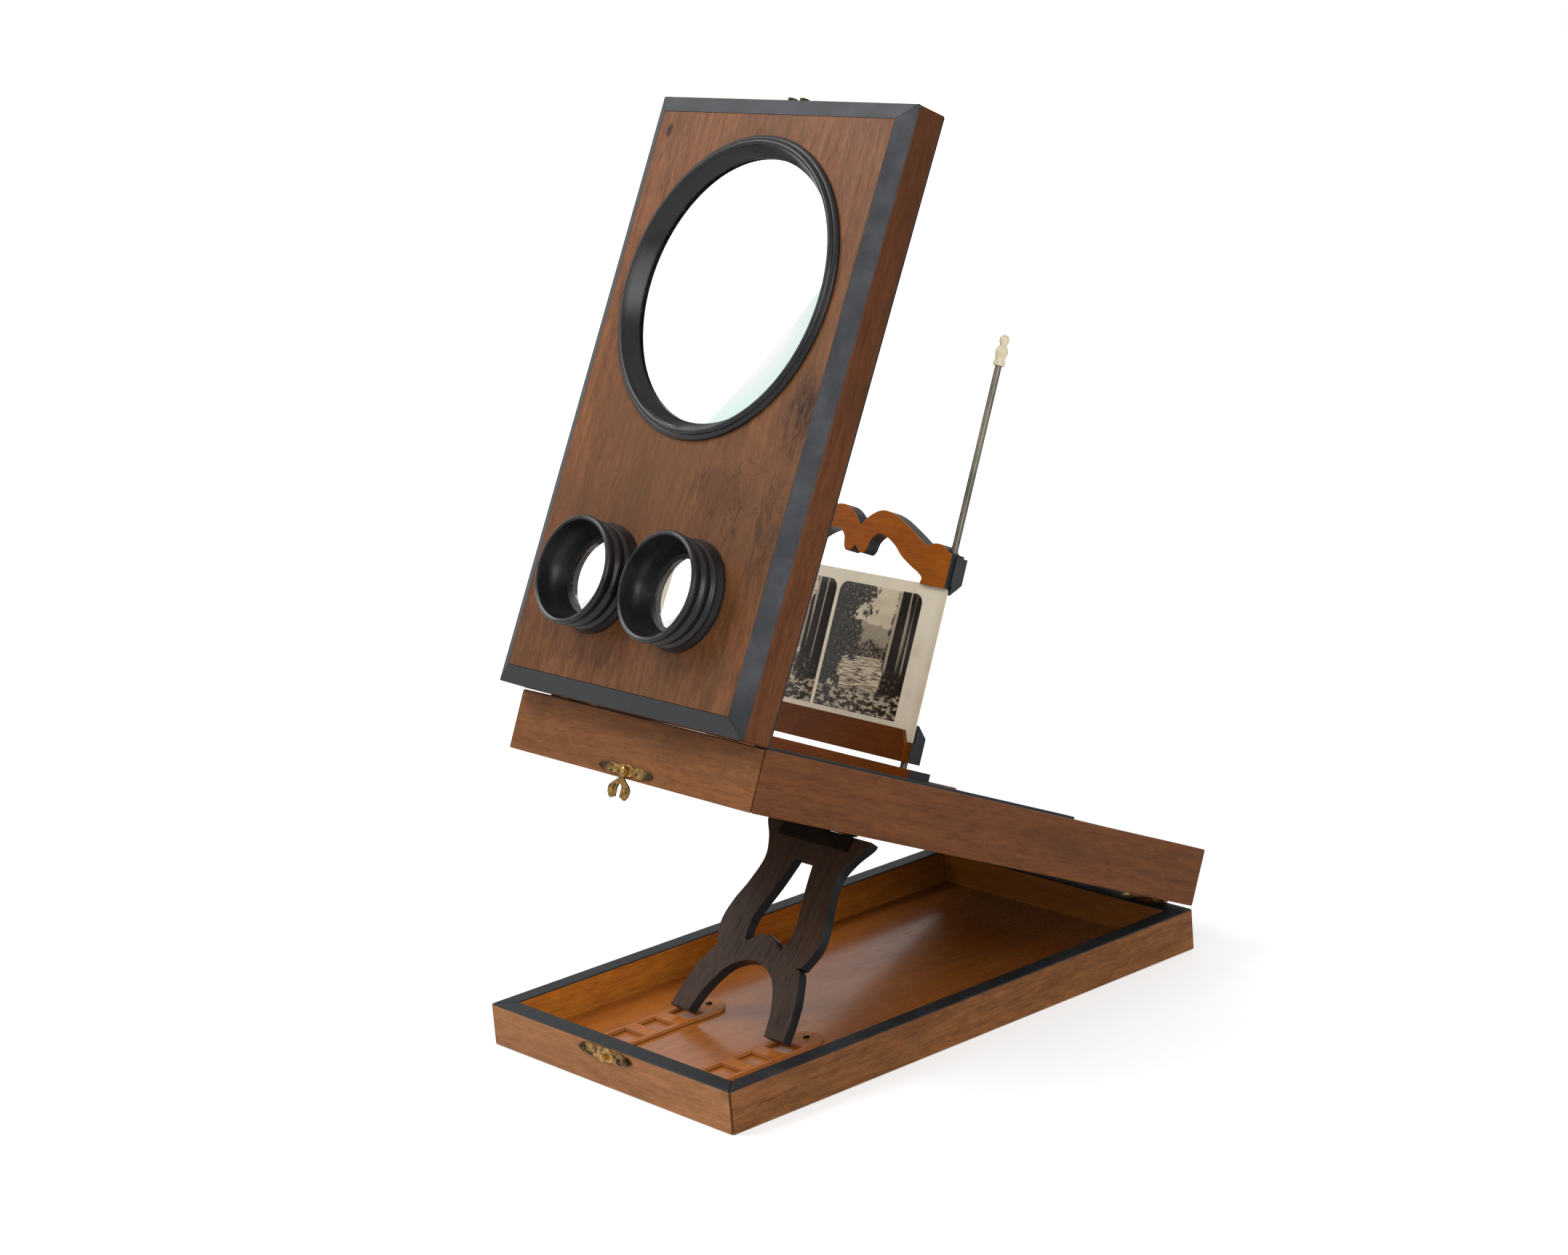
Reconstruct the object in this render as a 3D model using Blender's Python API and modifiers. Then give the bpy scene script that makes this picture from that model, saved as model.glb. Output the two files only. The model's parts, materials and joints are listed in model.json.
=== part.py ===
"""A Victorian table graphoscope in walnut, ebony and brass, built from its separate pieces.

A base box carries a tray hinged at the rear and propped by a fretted strut. The lens panel
stands on the tray's front edge, and a picture holder slides along the tray behind it.
World axes: X to the right, +Y to the rear, +Z up. The origin is the middle of the underside.
"""

import math

import bmesh
import bpy
from mathutils import Matrix, Vector

# Clearances
GAP = 0.0003
RUN = 0.0002
SLIDE_GAP = 0.0004
OVERRUN = 0.002
WELD = 0.00001

# Base box
WIDTH = 0.216
LENGTH = 0.360
WALL = 0.0115
EDGE = 0.0005
BASE_HEIGHT = 0.025
FLOOR_THICK = 0.0045

# Tray box
TRAY_HEIGHT = 0.0345
TRAY_TILT = math.radians(23.8)
TRAY_LIFT = 0.0007
DECK_THICK = 0.003
DECK_RECESS = 0.001
UNDERBOARD_THICK = 0.003

# Notched racks
RACK_THICK = 0.0017
RACK_OFFSET_SHARE = 0.8583
RACK_HALF = 0.013
RACK_REAR = -0.063
RACK_SCREW_FROM_END = 0.0085
SCREW_FLOOR = 0.0011
POCKET_COUNT = 3
POCKET_PITCH = 0.0222
POCKET_WIDE = 0.0185
POCKET_LONG = 0.013
REAR_POCKET_Y = -0.089

# Strut
STRUT_PIVOT_FROM_REAR = 0.208
STRUT_PIVOT_DROP = 0.0024
STRUT_SET_OFF = 0.0026
STRUT_THICK = 0.0065
STRUT_HALF_SHARE = 0.4704
FOOT_Y = -0.092
FOOT_HOVER = 0.0014
STRUT_TOP_GAP = 0.0025

# Hinges
HINGE_RADIUS = 0.0019
HINGE_PIN_RADIUS = 0.001
LEAF_THICK = 0.0009
BORE_CLEARANCE = 0.0001
REAR_HINGE_SHARE = 0.6481
REAR_HINGE_WIDE = 0.030
REAR_HINGE_LEAF = 0.0095
PANEL_HINGE_SHARE = 0.6111
PANEL_HINGE_WIDE = 0.027
PANEL_HINGE_LEAF = 0.006
PANEL_HINGE_RISE = 0.0018
STRUT_HINGE_WIDE = 0.060
STRUT_HINGE_LEAF = 0.012

# Lens panel
PANEL_LENGTH = 0.349
PANEL_THICK = 0.0203
PANEL_LEAN = math.radians(2.9)
PANEL_OVERHANG = 0.0176
PANEL_SEAT = 0.00165
PANEL_WALL = 0.008
BORDER_WIDE = 0.010
BORDER_RISE = 0.005
BORDER_EDGE = 0.001
BOARD_BACK = 0.005
LENS_OPENING_SHARE = 0.6944
LENS_HOLD = 0.0035
LENS_EDGE = 0.0023
LENS_CURVE = 0.420
RING_WALL = 0.0032
RING_FLANGE = 0.0058
RING_RISE = 0.0042
RING_LIP = 0.0014
RING_MARGIN = 0.0125
RETAINER_THICK = 0.0017
RETAINER_BEVEL = 0.0006
EYE_OFFSET = 0.0373
EYE_HEIGHT_SHARE = 0.4099
EYE_RISE = 0.0223
EYE_RADIUS = 0.0312
EYE_MOUTH_RADIUS_SHARE = 0.905
EYE_OPENING = 0.0195
EYE_DEPTH = 0.015
EYE_LENS_RADIUS = 0.0223
EYE_LENS_EDGE = 0.0018
EYE_LENS_CURVE = 0.090
EYE_SPIGOT = 0.0247
CATCH_HALF = 0.010
CATCH_DEEP = 0.0065
CATCH_THICK = 0.001
CATCH_BOSS = 0.0022
CATCH_BACK = 0.012

# Slide bar and its guides
RUNNER_PROUD = 0.0015
RUNNER_END = 0.105
RUNNER_WIDE = 0.0108
BAR_FRONT = 0.0041
BAR_REAR = 0.0043
BAR_TOP = 0.0064
CHEEK_REAR = 0.0116
CHEEK_WIDE = 0.0026
CHEEK_GAP = 0.0004

# Picture holder
HOLDER_FROM_REAR = 0.227
PIVOT_RISE = 0.0049
ROD_FROM_END = 0.0075
ROD_RADIUS = 0.002
ROD_FOOT = 0.0016
ROD_PIN_RADIUS = 0.0008
ROD_PIN_BITE = 0.003
FINIAL_FOOT = 0.238
FINIAL_TALL = 0.018
FINIAL_RADIUS = 0.0037
FINIAL_SOCKET = 0.006
RAIL_FRONT = 0.0039
RAIL_REAR = 0.0047
RAIL_INNER = 0.0027
LIP_THICK = 0.0026
LIP_SET_IN = 0.004
LIP_TALL = 0.0178
LIP_CHAMFER = 0.009
LOWER_RAIL_FOOT = 0.0097
CARD_FOOT = 0.0211
LOWER_WALL_REAR = 0.0249
LOWER_WALL_TOP = 0.0313
CARD_COVER = 0.0009
FRET_THICK = 0.0095
FRET_TALL = 0.0272
FRET_CROWN_RISE = 0.0105
FRET_SET_IN = 0.0015
END_BLOCK_LONG = 0.0237
END_BLOCK_TALL = 0.0185
UPPER_WALL_RISE = 0.0036
UPPER_WALL_DROP = 0.0035
CARD_WIDE = 0.178
CARD_TALL = 0.089
CARD_THICK = 0.0006
CARD_SHIFT = -0.0085
CARD_SET_BACK = 0.0003
CARD_CORNER = 0.004

# Brass hook, its plates and screws
PLATE_HALF = 0.024
PLATE_THICK = 0.0008
HOOK_PLATE_TALL = 0.0065
HOOK_PIVOT_RISE = 0.0045
HOOK_THICK = 0.0012
HOOK_REACH = 0.0165
HOOK_HALF = 0.009
HOOK_MOUTH = 0.0021
STUD_DROP = 0.0066
STUD_RADIUS = 0.0012
STUD_HEAD = 0.0022
STUD_HEAD_THICK = 0.0011
SHANK_BITE = 0.006
SHANK_RADIUS = 0.001
SCREW_HEAD = 0.002
SCREW_HEAD_TALL = 0.0009
KEEPER_FOOT = 0.016
KEEPER_TALL = 0.0083
KEEPER_SCREW_OFFSET = 0.0193

# How finely round shapes are drawn
LENS_STEPS = 56
EYE_STEPS = 36
SMALL_STEPS = 16
PIN_STEPS = 12
CURVE_STEPS = 3
SHARP_ANGLE = math.radians(35)
SOFTENED_ANGLE = math.radians(50)
FOOT_TRIES = 40

# Worked out from the sizes above
HALF_WIDTH = WIDTH / 2
HALF_LENGTH = LENGTH / 2
RACK_TOP = FLOOR_THICK + GAP + RACK_THICK
PIN_BEHIND = HINGE_RADIUS + SLIDE_GAP
PIN_Y = HALF_LENGTH + PIN_BEHIND
PIN_Z = BASE_HEIGHT + TRAY_LIFT / 2
TRAY_FOOT = TRAY_LIFT / 2
RIM = TRAY_FOOT + TRAY_HEIGHT
DECK_TOP = RIM - DECK_RECESS
TRAY_REAR_Y = -PIN_BEHIND
TRAY_FRONT_Y = TRAY_REAR_Y - LENGTH
INNER_HALF = HALF_WIDTH - WALL - GAP
FIELD = -BORDER_RISE
STRUT_HALF = STRUT_HALF_SHARE * HALF_WIDTH
RACK_OFFSET = RACK_OFFSET_SHARE * STRUT_HALF
REAR_HINGE_X = REAR_HINGE_SHARE * HALF_WIDTH
PANEL_HINGE_X = PANEL_HINGE_SHARE * HALF_WIDTH
BAR_HALF = INNER_HALF - RUNNER_WIDE - SLIDE_GAP
RAIL_HALF = BAR_HALF - CHEEK_WIDE - CHEEK_GAP
ROD_OFFSET = RAIL_HALF - ROD_FROM_END
LIP_HALF = RAIL_HALF - LIP_SET_IN
LIP_FRONT = RAIL_FRONT + LIP_THICK
FRET_HALF = RAIL_HALF - FRET_SET_IN
END_BLOCK_INNER = RAIL_HALF - END_BLOCK_LONG
CARD_TOP = CARD_FOOT + CARD_TALL
FRET_FOOT = CARD_TOP - CARD_COVER
FRET_CUSP = FRET_FOOT + FRET_TALL
UPPER_RAIL_TOP = FRET_FOOT + END_BLOCK_TALL
UPPER_WALL_REAR = FRET_FOOT + UPPER_WALL_RISE
UPPER_WALL_FOOT = FRET_FOOT - UPPER_WALL_DROP
LENS_OPENING = LENS_OPENING_SHARE * HALF_WIDTH
LENS_RADIUS = LENS_OPENING + LENS_HOLD
RING_SPIGOT = LENS_RADIUS + RING_WALL
RING_RADIUS = RING_SPIGOT + RING_FLANGE
LENS_HEIGHT = PANEL_LENGTH - BORDER_WIDE - RING_MARGIN - RING_RADIUS
EYE_SPACE = LENS_HEIGHT - RING_RADIUS - BORDER_WIDE
EYE_HEIGHT = BORDER_WIDE + EYE_HEIGHT_SHARE * EYE_SPACE


def clear_scene():
    for obj in list(bpy.data.objects):
        bpy.data.objects.remove(obj, do_unlink=True)


def new_collection(name):
    collection = bpy.data.collections.new(name)
    bpy.context.scene.collection.children.link(collection)
    return collection


def new_material(name, colour, roughness, metallic=0.0, transmission=0.0):
    material = bpy.data.materials.new(name)
    material.use_nodes = True
    shader = material.node_tree.nodes["Principled BSDF"]
    shader.inputs["Base Color"].default_value = (*colour, 1.0)
    shader.inputs["Roughness"].default_value = roughness
    shader.inputs["Metallic"].default_value = metallic
    shader.inputs["Transmission Weight"].default_value = transmission
    material.diffuse_color = (*colour, 1.0)
    return material


def new_frame(name, parent=None, place=(0, 0, 0), turn_x=0.0):
    """An empty on a joint's axis, which the pieces of one moving body follow."""
    frame = bpy.data.objects.new(name, None)
    PARTS.objects.link(frame)
    frame.parent = parent
    frame.location = place
    frame.rotation_euler = (turn_x, 0, 0)
    return frame


def new_piece(name, mesh, frame, material):
    piece = bpy.data.objects.new(name, mesh)
    PARTS.objects.link(piece)
    piece.parent = frame
    mesh.materials.clear()
    mesh.materials.append(material)
    mesh.shade_smooth()
    mesh.set_sharp_from_angle(angle=SHARP_ANGLE)
    return piece


def new_tool(name, mesh, frame):
    """A helper that a Boolean cuts with or joins on."""
    tool = bpy.data.objects.new(name, mesh)
    CUTTERS.objects.link(tool)
    tool.parent = frame
    tool.hide_render = True
    tool.display_type = "WIRE"
    return tool


def combine(piece, mesh, operation):
    tool = new_tool(f"{piece.name}_{operation.lower()}_{len(piece.modifiers)}", mesh, piece.parent)
    change = piece.modifiers.new(tool.name, "BOOLEAN")
    change.operation = operation
    change.object = tool
    change.solver = "EXACT"


def cut(piece, *meshes):
    for mesh in meshes:
        combine(piece, mesh, "DIFFERENCE")


def join(piece, *meshes):
    for mesh in meshes:
        combine(piece, mesh, "UNION")


def soften(piece, width=EDGE):
    bevel = piece.modifiers.new("softened edges", "BEVEL")
    bevel.width = width
    bevel.segments = 1
    bevel.limit_method = "ANGLE"
    bevel.angle_limit = SOFTENED_ANGLE
    return piece


def mesh_from(builder, name="shape"):
    mesh = bpy.data.meshes.new(name)
    builder.to_mesh(mesh)
    builder.free()
    return mesh


def block(x, y, z):
    """A box from its low and high limit along each axis."""
    builder = bmesh.new()
    bmesh.ops.create_cube(builder, size=1.0)
    size = Matrix.Diagonal((x[1] - x[0], y[1] - y[0], z[1] - z[0], 1.0))
    place = Matrix.Translation(((x[0] + x[1]) / 2, (y[0] + y[1]) / 2, (z[0] + z[1]) / 2))
    bmesh.ops.transform(builder, matrix=place @ size, verts=builder.verts)
    return mesh_from(builder)


def rod(radius, start, end, steps=SMALL_STEPS):
    """A round bar between two points."""
    start, end = Vector(start), Vector(end)
    builder = bmesh.new()
    bmesh.ops.create_cone(
        builder, cap_ends=True, segments=steps, radius1=radius, radius2=radius, depth=1.0
    )
    along = end - start
    turn = along.to_track_quat("Z", "Y").to_matrix().to_4x4()
    size = Matrix.Diagonal((1.0, 1.0, along.length, 1.0))
    place = Matrix.Translation((start + end) / 2)
    bmesh.ops.transform(builder, matrix=place @ turn @ size, verts=builder.verts)
    return mesh_from(builder)


def slab(outline, thickness, matrix=None):
    """A flat outline given its thickness, centred on its own plane, as a closed mesh."""
    curve = bpy.data.curves.new("outline", "CURVE")
    curve.dimensions = "2D"
    curve.fill_mode = "BOTH"
    curve.extrude = thickness / 2
    spline = curve.splines.new("POLY")
    spline.points.add(len(outline) - 1)
    for point, (across, up) in zip(spline.points, outline):
        point.co = (across, up, 0, 1)
    spline.use_cyclic_u = True
    drawn = bpy.data.objects.new("outline", curve)
    bpy.context.scene.collection.objects.link(drawn)
    graph = bpy.context.evaluated_depsgraph_get()
    mesh = bpy.data.meshes.new_from_object(drawn.evaluated_get(graph))
    bpy.data.objects.remove(drawn, do_unlink=True)
    builder = bmesh.new()
    builder.from_mesh(mesh)
    bmesh.ops.remove_doubles(builder, verts=builder.verts, dist=WELD)
    if matrix is not None:
        bmesh.ops.transform(builder, matrix=matrix, verts=builder.verts)
    bmesh.ops.recalc_face_normals(builder, faces=builder.faces)
    builder.to_mesh(mesh)
    builder.free()
    return mesh


def basis(across, up, origin=(0, 0, 0)):
    """The matrix that lays an outline's two directions along the given ones."""
    across, up = Vector(across), Vector(up)
    turned = Matrix((across, up, across.cross(up))).transposed().to_4x4()
    return Matrix.Translation(origin) @ turned


FACING_FRONT = ((1, 0, 0), (0, 0, 1))
ALONG_X = ((0, 1, 0), (0, 0, 1))


def front_slab(outline, front, back):
    """An outline drawn in X and Z, reaching from front to back along Y."""
    matrix = basis(*FACING_FRONT, origin=(0, (front + back) / 2, 0))
    return slab(outline, back - front, matrix)


def long_slab(outline, left, right):
    """An outline drawn in Y and Z, reaching from left to right along X."""
    matrix = basis(*ALONG_X, origin=((left + right) / 2, 0, 0))
    return slab(outline, right - left, matrix)


def level_slab(outline, low, high):
    """An outline drawn in X and Y, reaching from low to high along Z."""
    return slab(outline, high - low, Matrix.Translation((0, 0, (low + high) / 2)))


def turned(profile, steps, matrix=None):
    """A ring or knob from its closed profile of radii and heights, run down its outer side."""
    mesh = bpy.data.meshes.new("profile")
    points = [(radius, 0, height) for radius, height in profile]
    count = len(points)
    hollow = profile[0][0] > 0
    edges = [(i, (i + 1) % count) for i in range(count if hollow else count - 1)]
    mesh.from_pydata(points, edges, [])
    drawn = bpy.data.objects.new("profile", mesh)
    bpy.context.scene.collection.objects.link(drawn)
    screw = drawn.modifiers.new("turning", "SCREW")
    screw.steps = steps
    screw.render_steps = steps
    screw.use_merge_vertices = True
    screw.merge_threshold = WELD
    graph = bpy.context.evaluated_depsgraph_get()
    solid = bpy.data.meshes.new_from_object(drawn.evaluated_get(graph))
    bpy.data.objects.remove(drawn, do_unlink=True)
    builder = bmesh.new()
    builder.from_mesh(solid)
    bmesh.ops.remove_doubles(builder, verts=builder.verts, dist=WELD)
    bmesh.ops.recalc_face_normals(builder, faces=builder.faces)
    if matrix is not None:
        bmesh.ops.transform(builder, matrix=matrix, verts=builder.verts)
    builder.to_mesh(solid)
    builder.free()
    return solid


def facing_front(x, y, z):
    """Stands a turned shape's axis along -Y, so that its heights count towards the viewer."""
    return Matrix.Translation((x, y, z)) @ Matrix.Rotation(math.pi / 2, 4, "X")


def arc(centre, radius, start, end, steps):
    """Points on an arc, its angles in degrees counted from +X."""
    angles = [math.radians(start + (end - start) * i / steps) for i in range(steps + 1)]
    return [(centre[0] + radius * math.cos(a), centre[1] + radius * math.sin(a)) for a in angles]


def smooth_path(knots, steps=CURVE_STEPS):
    """A flowing line through knots (across, up, is_corner), where a corner breaks the flow."""
    points = []
    for i in range(len(knots) - 1):
        before = knots[max(i - 1, 0)]
        start, end = knots[i], knots[i + 1]
        after = knots[min(i + 2, len(knots) - 1)]
        leave = [(end[k] - (start[k] if start[2] else before[k])) for k in (0, 1)]
        reach = [((end[k] if end[2] else after[k]) - start[k]) for k in (0, 1)]
        leave = [value * (1.0 if start[2] else 0.5) for value in leave]
        reach = [value * (1.0 if end[2] else 0.5) for value in reach]
        count = 1 if start[2] and end[2] else steps
        for step in range(count):
            t = step / count
            shape = (2 * t**3 - 3 * t**2 + 1, t**3 - 2 * t**2 + t, 3 * t**2 - 2 * t**3, t**3 - t**2)
            points.append(
                tuple(
                    shape[0] * start[k] + shape[1] * leave[k] + shape[2] * end[k] + shape[3] * reach[k]
                    for k in (0, 1)
                )
            )
    points.append((knots[-1][0], knots[-1][1]))
    return points


def mirrored(half):
    """Closes a right half, drawn from the centre line to the centre line, with its left half."""
    left = [(-across, up) for across, up in reversed(half)]
    return half + [point for point in left if abs(point[0]) > WELD]


def scaled(knot_shares, across, up, lift=0.0):
    """Knots given as shares of a half width and a height, as real sizes."""
    return [(share[0] * across, share[1] * up + lift, share[2]) for share in knot_shares]


def mitred_board(length, wall, low, high, turn, place):
    """A board of a box's side, standing on edge with both ends cut at 45 degrees."""
    builder = bmesh.new()
    bmesh.ops.create_cube(builder, size=2.0)
    joint = GAP / math.sqrt(2)
    for vert in builder.verts:
        inner = vert.co.y > 0
        vert.co.x *= length / 2 - joint - (wall if inner else 0)
        vert.co.y = wall if inner else 0
        vert.co.z = high if vert.co.z > 0 else low
    matrix = Matrix.Translation(place) @ Matrix.Rotation(turn, 4, "Z")
    bmesh.ops.transform(builder, matrix=matrix, verts=builder.verts)
    return mesh_from(builder)


def box_sides(prefix, half_x, half_y, middle_y, wall, low, high, frame, material, tops=None):
    """Four mitred boards round a box, front at -Y."""
    tops = tops or {}
    sides = {
        "front": (2 * half_x, 0, (0, middle_y - half_y, 0)),
        "right": (2 * half_y, math.pi / 2, (half_x, middle_y, 0)),
        "rear": (2 * half_x, math.pi, (0, middle_y + half_y, 0)),
        "left": (2 * half_y, -math.pi / 2, (-half_x, middle_y, 0)),
    }
    boards = {}
    for side, (length, turn, place) in sides.items():
        mesh = mitred_board(length, wall, low, tops.get(side, high), turn, place)
        boards[side] = soften(new_piece(f"{prefix}_{side}_board", mesh, frame, material))
    return boards


def hinge_leaf(name, middle_x, wide, leaf, direction, normal, offset, frame, material, carries_pin):
    """One leaf of a butt hinge whose pin lies along X through the frame's origin.

    The leaf runs from the pin along direction, its thickness centred at offset along normal.
    The leaf that carries the pin has the two outer knuckles, the other has the middle one."""
    middle_half = wide / 6
    clear = HINGE_RADIUS + SLIDE_GAP
    if carries_pin:
        own = middle_half + SLIDE_GAP
        notched = [(-own, 0), (-own, clear), (own, clear), (own, 0), (wide / 2, 0)]
        outline = [(-wide / 2, 0), *notched, (wide / 2, leaf), (-wide / 2, leaf)]
        knuckles = [(GAP - wide / 2, -own - GAP), (own + GAP, wide / 2 - GAP)]
    else:
        right = [(middle_half, 0), (middle_half, clear + GAP), (wide / 2, clear), (wide / 2, leaf)]
        left = [(-wide / 2, leaf), (-wide / 2, clear), (-middle_half, clear + GAP)]
        outline = [(-middle_half, 0), *right, *left]
        knuckles = [(GAP - middle_half, middle_half - GAP)]
    across = Vector((1, 0, 0))
    place = Vector((middle_x, 0, 0)) + Vector(normal) * offset
    mesh = slab(outline, LEAF_THICK, basis(across, direction, place))
    piece = new_piece(name, mesh, frame, material)
    for start, end in knuckles:
        join(piece, rod(HINGE_RADIUS, (middle_x + start, 0, 0), (middle_x + end, 0, 0)))
    if carries_pin:
        join(piece, rod(HINGE_PIN_RADIUS, (middle_x - wide / 3, 0, 0), (middle_x + wide / 3, 0, 0)))
    else:
        bore = HINGE_PIN_RADIUS + BORE_CLEARANCE
        cut(piece, rod(bore, (middle_x - wide, 0, 0), (middle_x + wide, 0, 0)))
    return piece


# A screw's domed head, as shares of its radius and its height
DOME_SHARES = ((0, 1), (0.6, 0.85), (1, 0.3), (1, 0))


def screw_mesh(head, head_tall, shank, bite, matrix):
    """A domed screw whose head's underside is at height zero."""
    dome = [(r * head, h * head_tall) for r, h in DOME_SHARES]
    return turned([*dome, (shank, 0), (shank, -bite), (0, -bite)], SMALL_STEPS, matrix)


def build_base():
    floor_half_y = HALF_LENGTH - WALL - GAP
    boards = box_sides(
        "base", HALF_WIDTH, HALF_LENGTH, 0, WALL, 0, BASE_HEIGHT, BASE, WALNUT
    )
    floor = new_piece(
        "base_floor",
        block((-INNER_HALF, INNER_HALF), (-floor_half_y, floor_half_y), (0, FLOOR_THICK)),
        BASE,
        VARNISHED,
    )
    build_racks(floor, -floor_half_y)
    build_keeper(boards["front"])
    # The two hinges let into the top of the rear board
    for side, sign in (("left", -1), ("right", 1)):
        middle = sign * REAR_HINGE_X
        leaf_frame = new_frame(f"rear_hinge_{side}_pin", BASE, (0, PIN_Y, PIN_Z))
        offset = -(TRAY_LIFT / 2 + LEAF_THICK / 2)
        hinge_leaf(
            f"rear_hinge_{side}_fixed_leaf", middle, REAR_HINGE_WIDE, REAR_HINGE_LEAF,
            (0, -1, 0), (0, 0, 1), offset, leaf_frame, BRASS, True,
        )
        cut(boards["rear"], leaf_recess(middle, PIN_Y, BASE_HEIGHT, BASE_HEIGHT - LEAF_THICK - GAP))


def leaf_recess(middle, pin_y, surface, depth):
    """The bed for a rear hinge's leaf, open at the rear face."""
    half = REAR_HINGE_WIDE / 2 + GAP
    low, high = sorted((depth, surface + math.copysign(OVERRUN, surface - depth)))
    reach = (pin_y - REAR_HINGE_LEAF - GAP, pin_y + OVERRUN)
    return block((middle - half, middle + half), reach, (low, high))


def build_racks(floor, front_end):
    for side, sign in (("left", -1), ("right", 1)):
        middle = sign * RACK_OFFSET
        rounded = arc((middle, RACK_REAR - RACK_HALF), RACK_HALF, 0, 180, 4 * CURVE_STEPS)
        outline = [(middle - RACK_HALF, front_end), (middle + RACK_HALF, front_end), *rounded]
        mesh = level_slab(outline, FLOOR_THICK + GAP, RACK_TOP)
        rack = new_piece(f"rack_{side}", mesh, BASE, VARNISHED)
        for index in range(POCKET_COUNT):
            pocket_y = REAR_POCKET_Y - index * POCKET_PITCH
            across = (middle - POCKET_WIDE / 2, middle + POCKET_WIDE / 2)
            along = (pocket_y - POCKET_LONG / 2, pocket_y + POCKET_LONG / 2)
            cut(rack, block(across, along, (FLOOR_THICK - OVERRUN, RACK_TOP + OVERRUN)))
        screw_y = RACK_REAR - RACK_SCREW_FROM_END
        hole = SHANK_RADIUS + GAP
        ends = ((middle, screw_y, SCREW_FLOOR), (middle, screw_y, RACK_TOP + OVERRUN))
        for drilled in (rack, floor):
            cut(drilled, rod(hole, *ends))
        head_seat = RACK_TOP + GAP
        bite = head_seat - SCREW_FLOOR - GAP
        place = Matrix.Translation((middle, screw_y, head_seat))
        mesh = screw_mesh(SCREW_HEAD, SCREW_HEAD_TALL, SHANK_RADIUS, bite, place)
        new_piece(f"rack_screw_{side}", mesh, BASE, BRASS)


# Right half of an ornate plate's edge, as shares of its half width and half height
PLATE_EDGE_SHARES = (
    (0.0, 1.0, False),
    (0.18, 0.94, False),
    (0.30, 0.62, True),
    (0.42, 0.84, False),
    (0.60, 0.90, False),
    (0.74, 0.58, True),
    (0.84, 0.66, False),
    (1.0, 0.0, False),
)


def ornate_plate(middle_z, half_tall, front, back):
    quarter = scaled(PLATE_EDGE_SHARES, PLATE_HALF, half_tall)
    upper = smooth_path(quarter)
    lower = [(across, -up) for across, up in reversed(upper[:-1])]
    half = [(across, up + middle_z) for across, up in upper + lower]
    return front_slab(mirrored(half), front, back)


def build_keeper(front_board):
    face = -HALF_LENGTH
    back = face - GAP
    front = back - PLATE_THICK
    middle_z = KEEPER_FOOT + KEEPER_TALL / 2
    plate = new_piece("keeper_plate", ornate_plate(middle_z, KEEPER_TALL / 2, front, back), BASE, BRASS)
    stud_z = BASE_HEIGHT - STUD_DROP
    head_seat = plate_stack()
    hole = STUD_RADIUS + GAP
    stud = screw_mesh(
        STUD_HEAD, STUD_HEAD_THICK, STUD_RADIUS, SHANK_BITE + head_seat,
        facing_front(0, face - head_seat, stud_z),
    )
    new_piece("keeper_stud", stud, BASE, BRASS)
    deep = face + SHANK_BITE + GAP
    for drilled in (plate, front_board):
        cut(drilled, rod(hole, (0, face - OVERRUN, stud_z), (0, deep, stud_z)))
    screw_hole = SHANK_RADIUS + GAP
    for side, sign in (("left", -1), ("right", 1)):
        x = sign * KEEPER_SCREW_OFFSET
        for drilled in (plate, front_board):
            cut(drilled, rod(screw_hole, (x, face - OVERRUN, middle_z), (x, deep, middle_z)))
        seat = 2 * GAP + PLATE_THICK
        matrix = facing_front(x, face - seat, middle_z)
        mesh = screw_mesh(SCREW_HEAD, SCREW_HEAD_TALL, SHANK_RADIUS, SHANK_BITE + seat, matrix)
        new_piece(f"keeper_screw_{side}", mesh, BASE, BRASS)


def plate_stack():
    """How far the underside of a head stands off the face: plate, hook and their gaps."""
    return GAP + PLATE_THICK + GAP + HOOK_THICK + GAP


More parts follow.
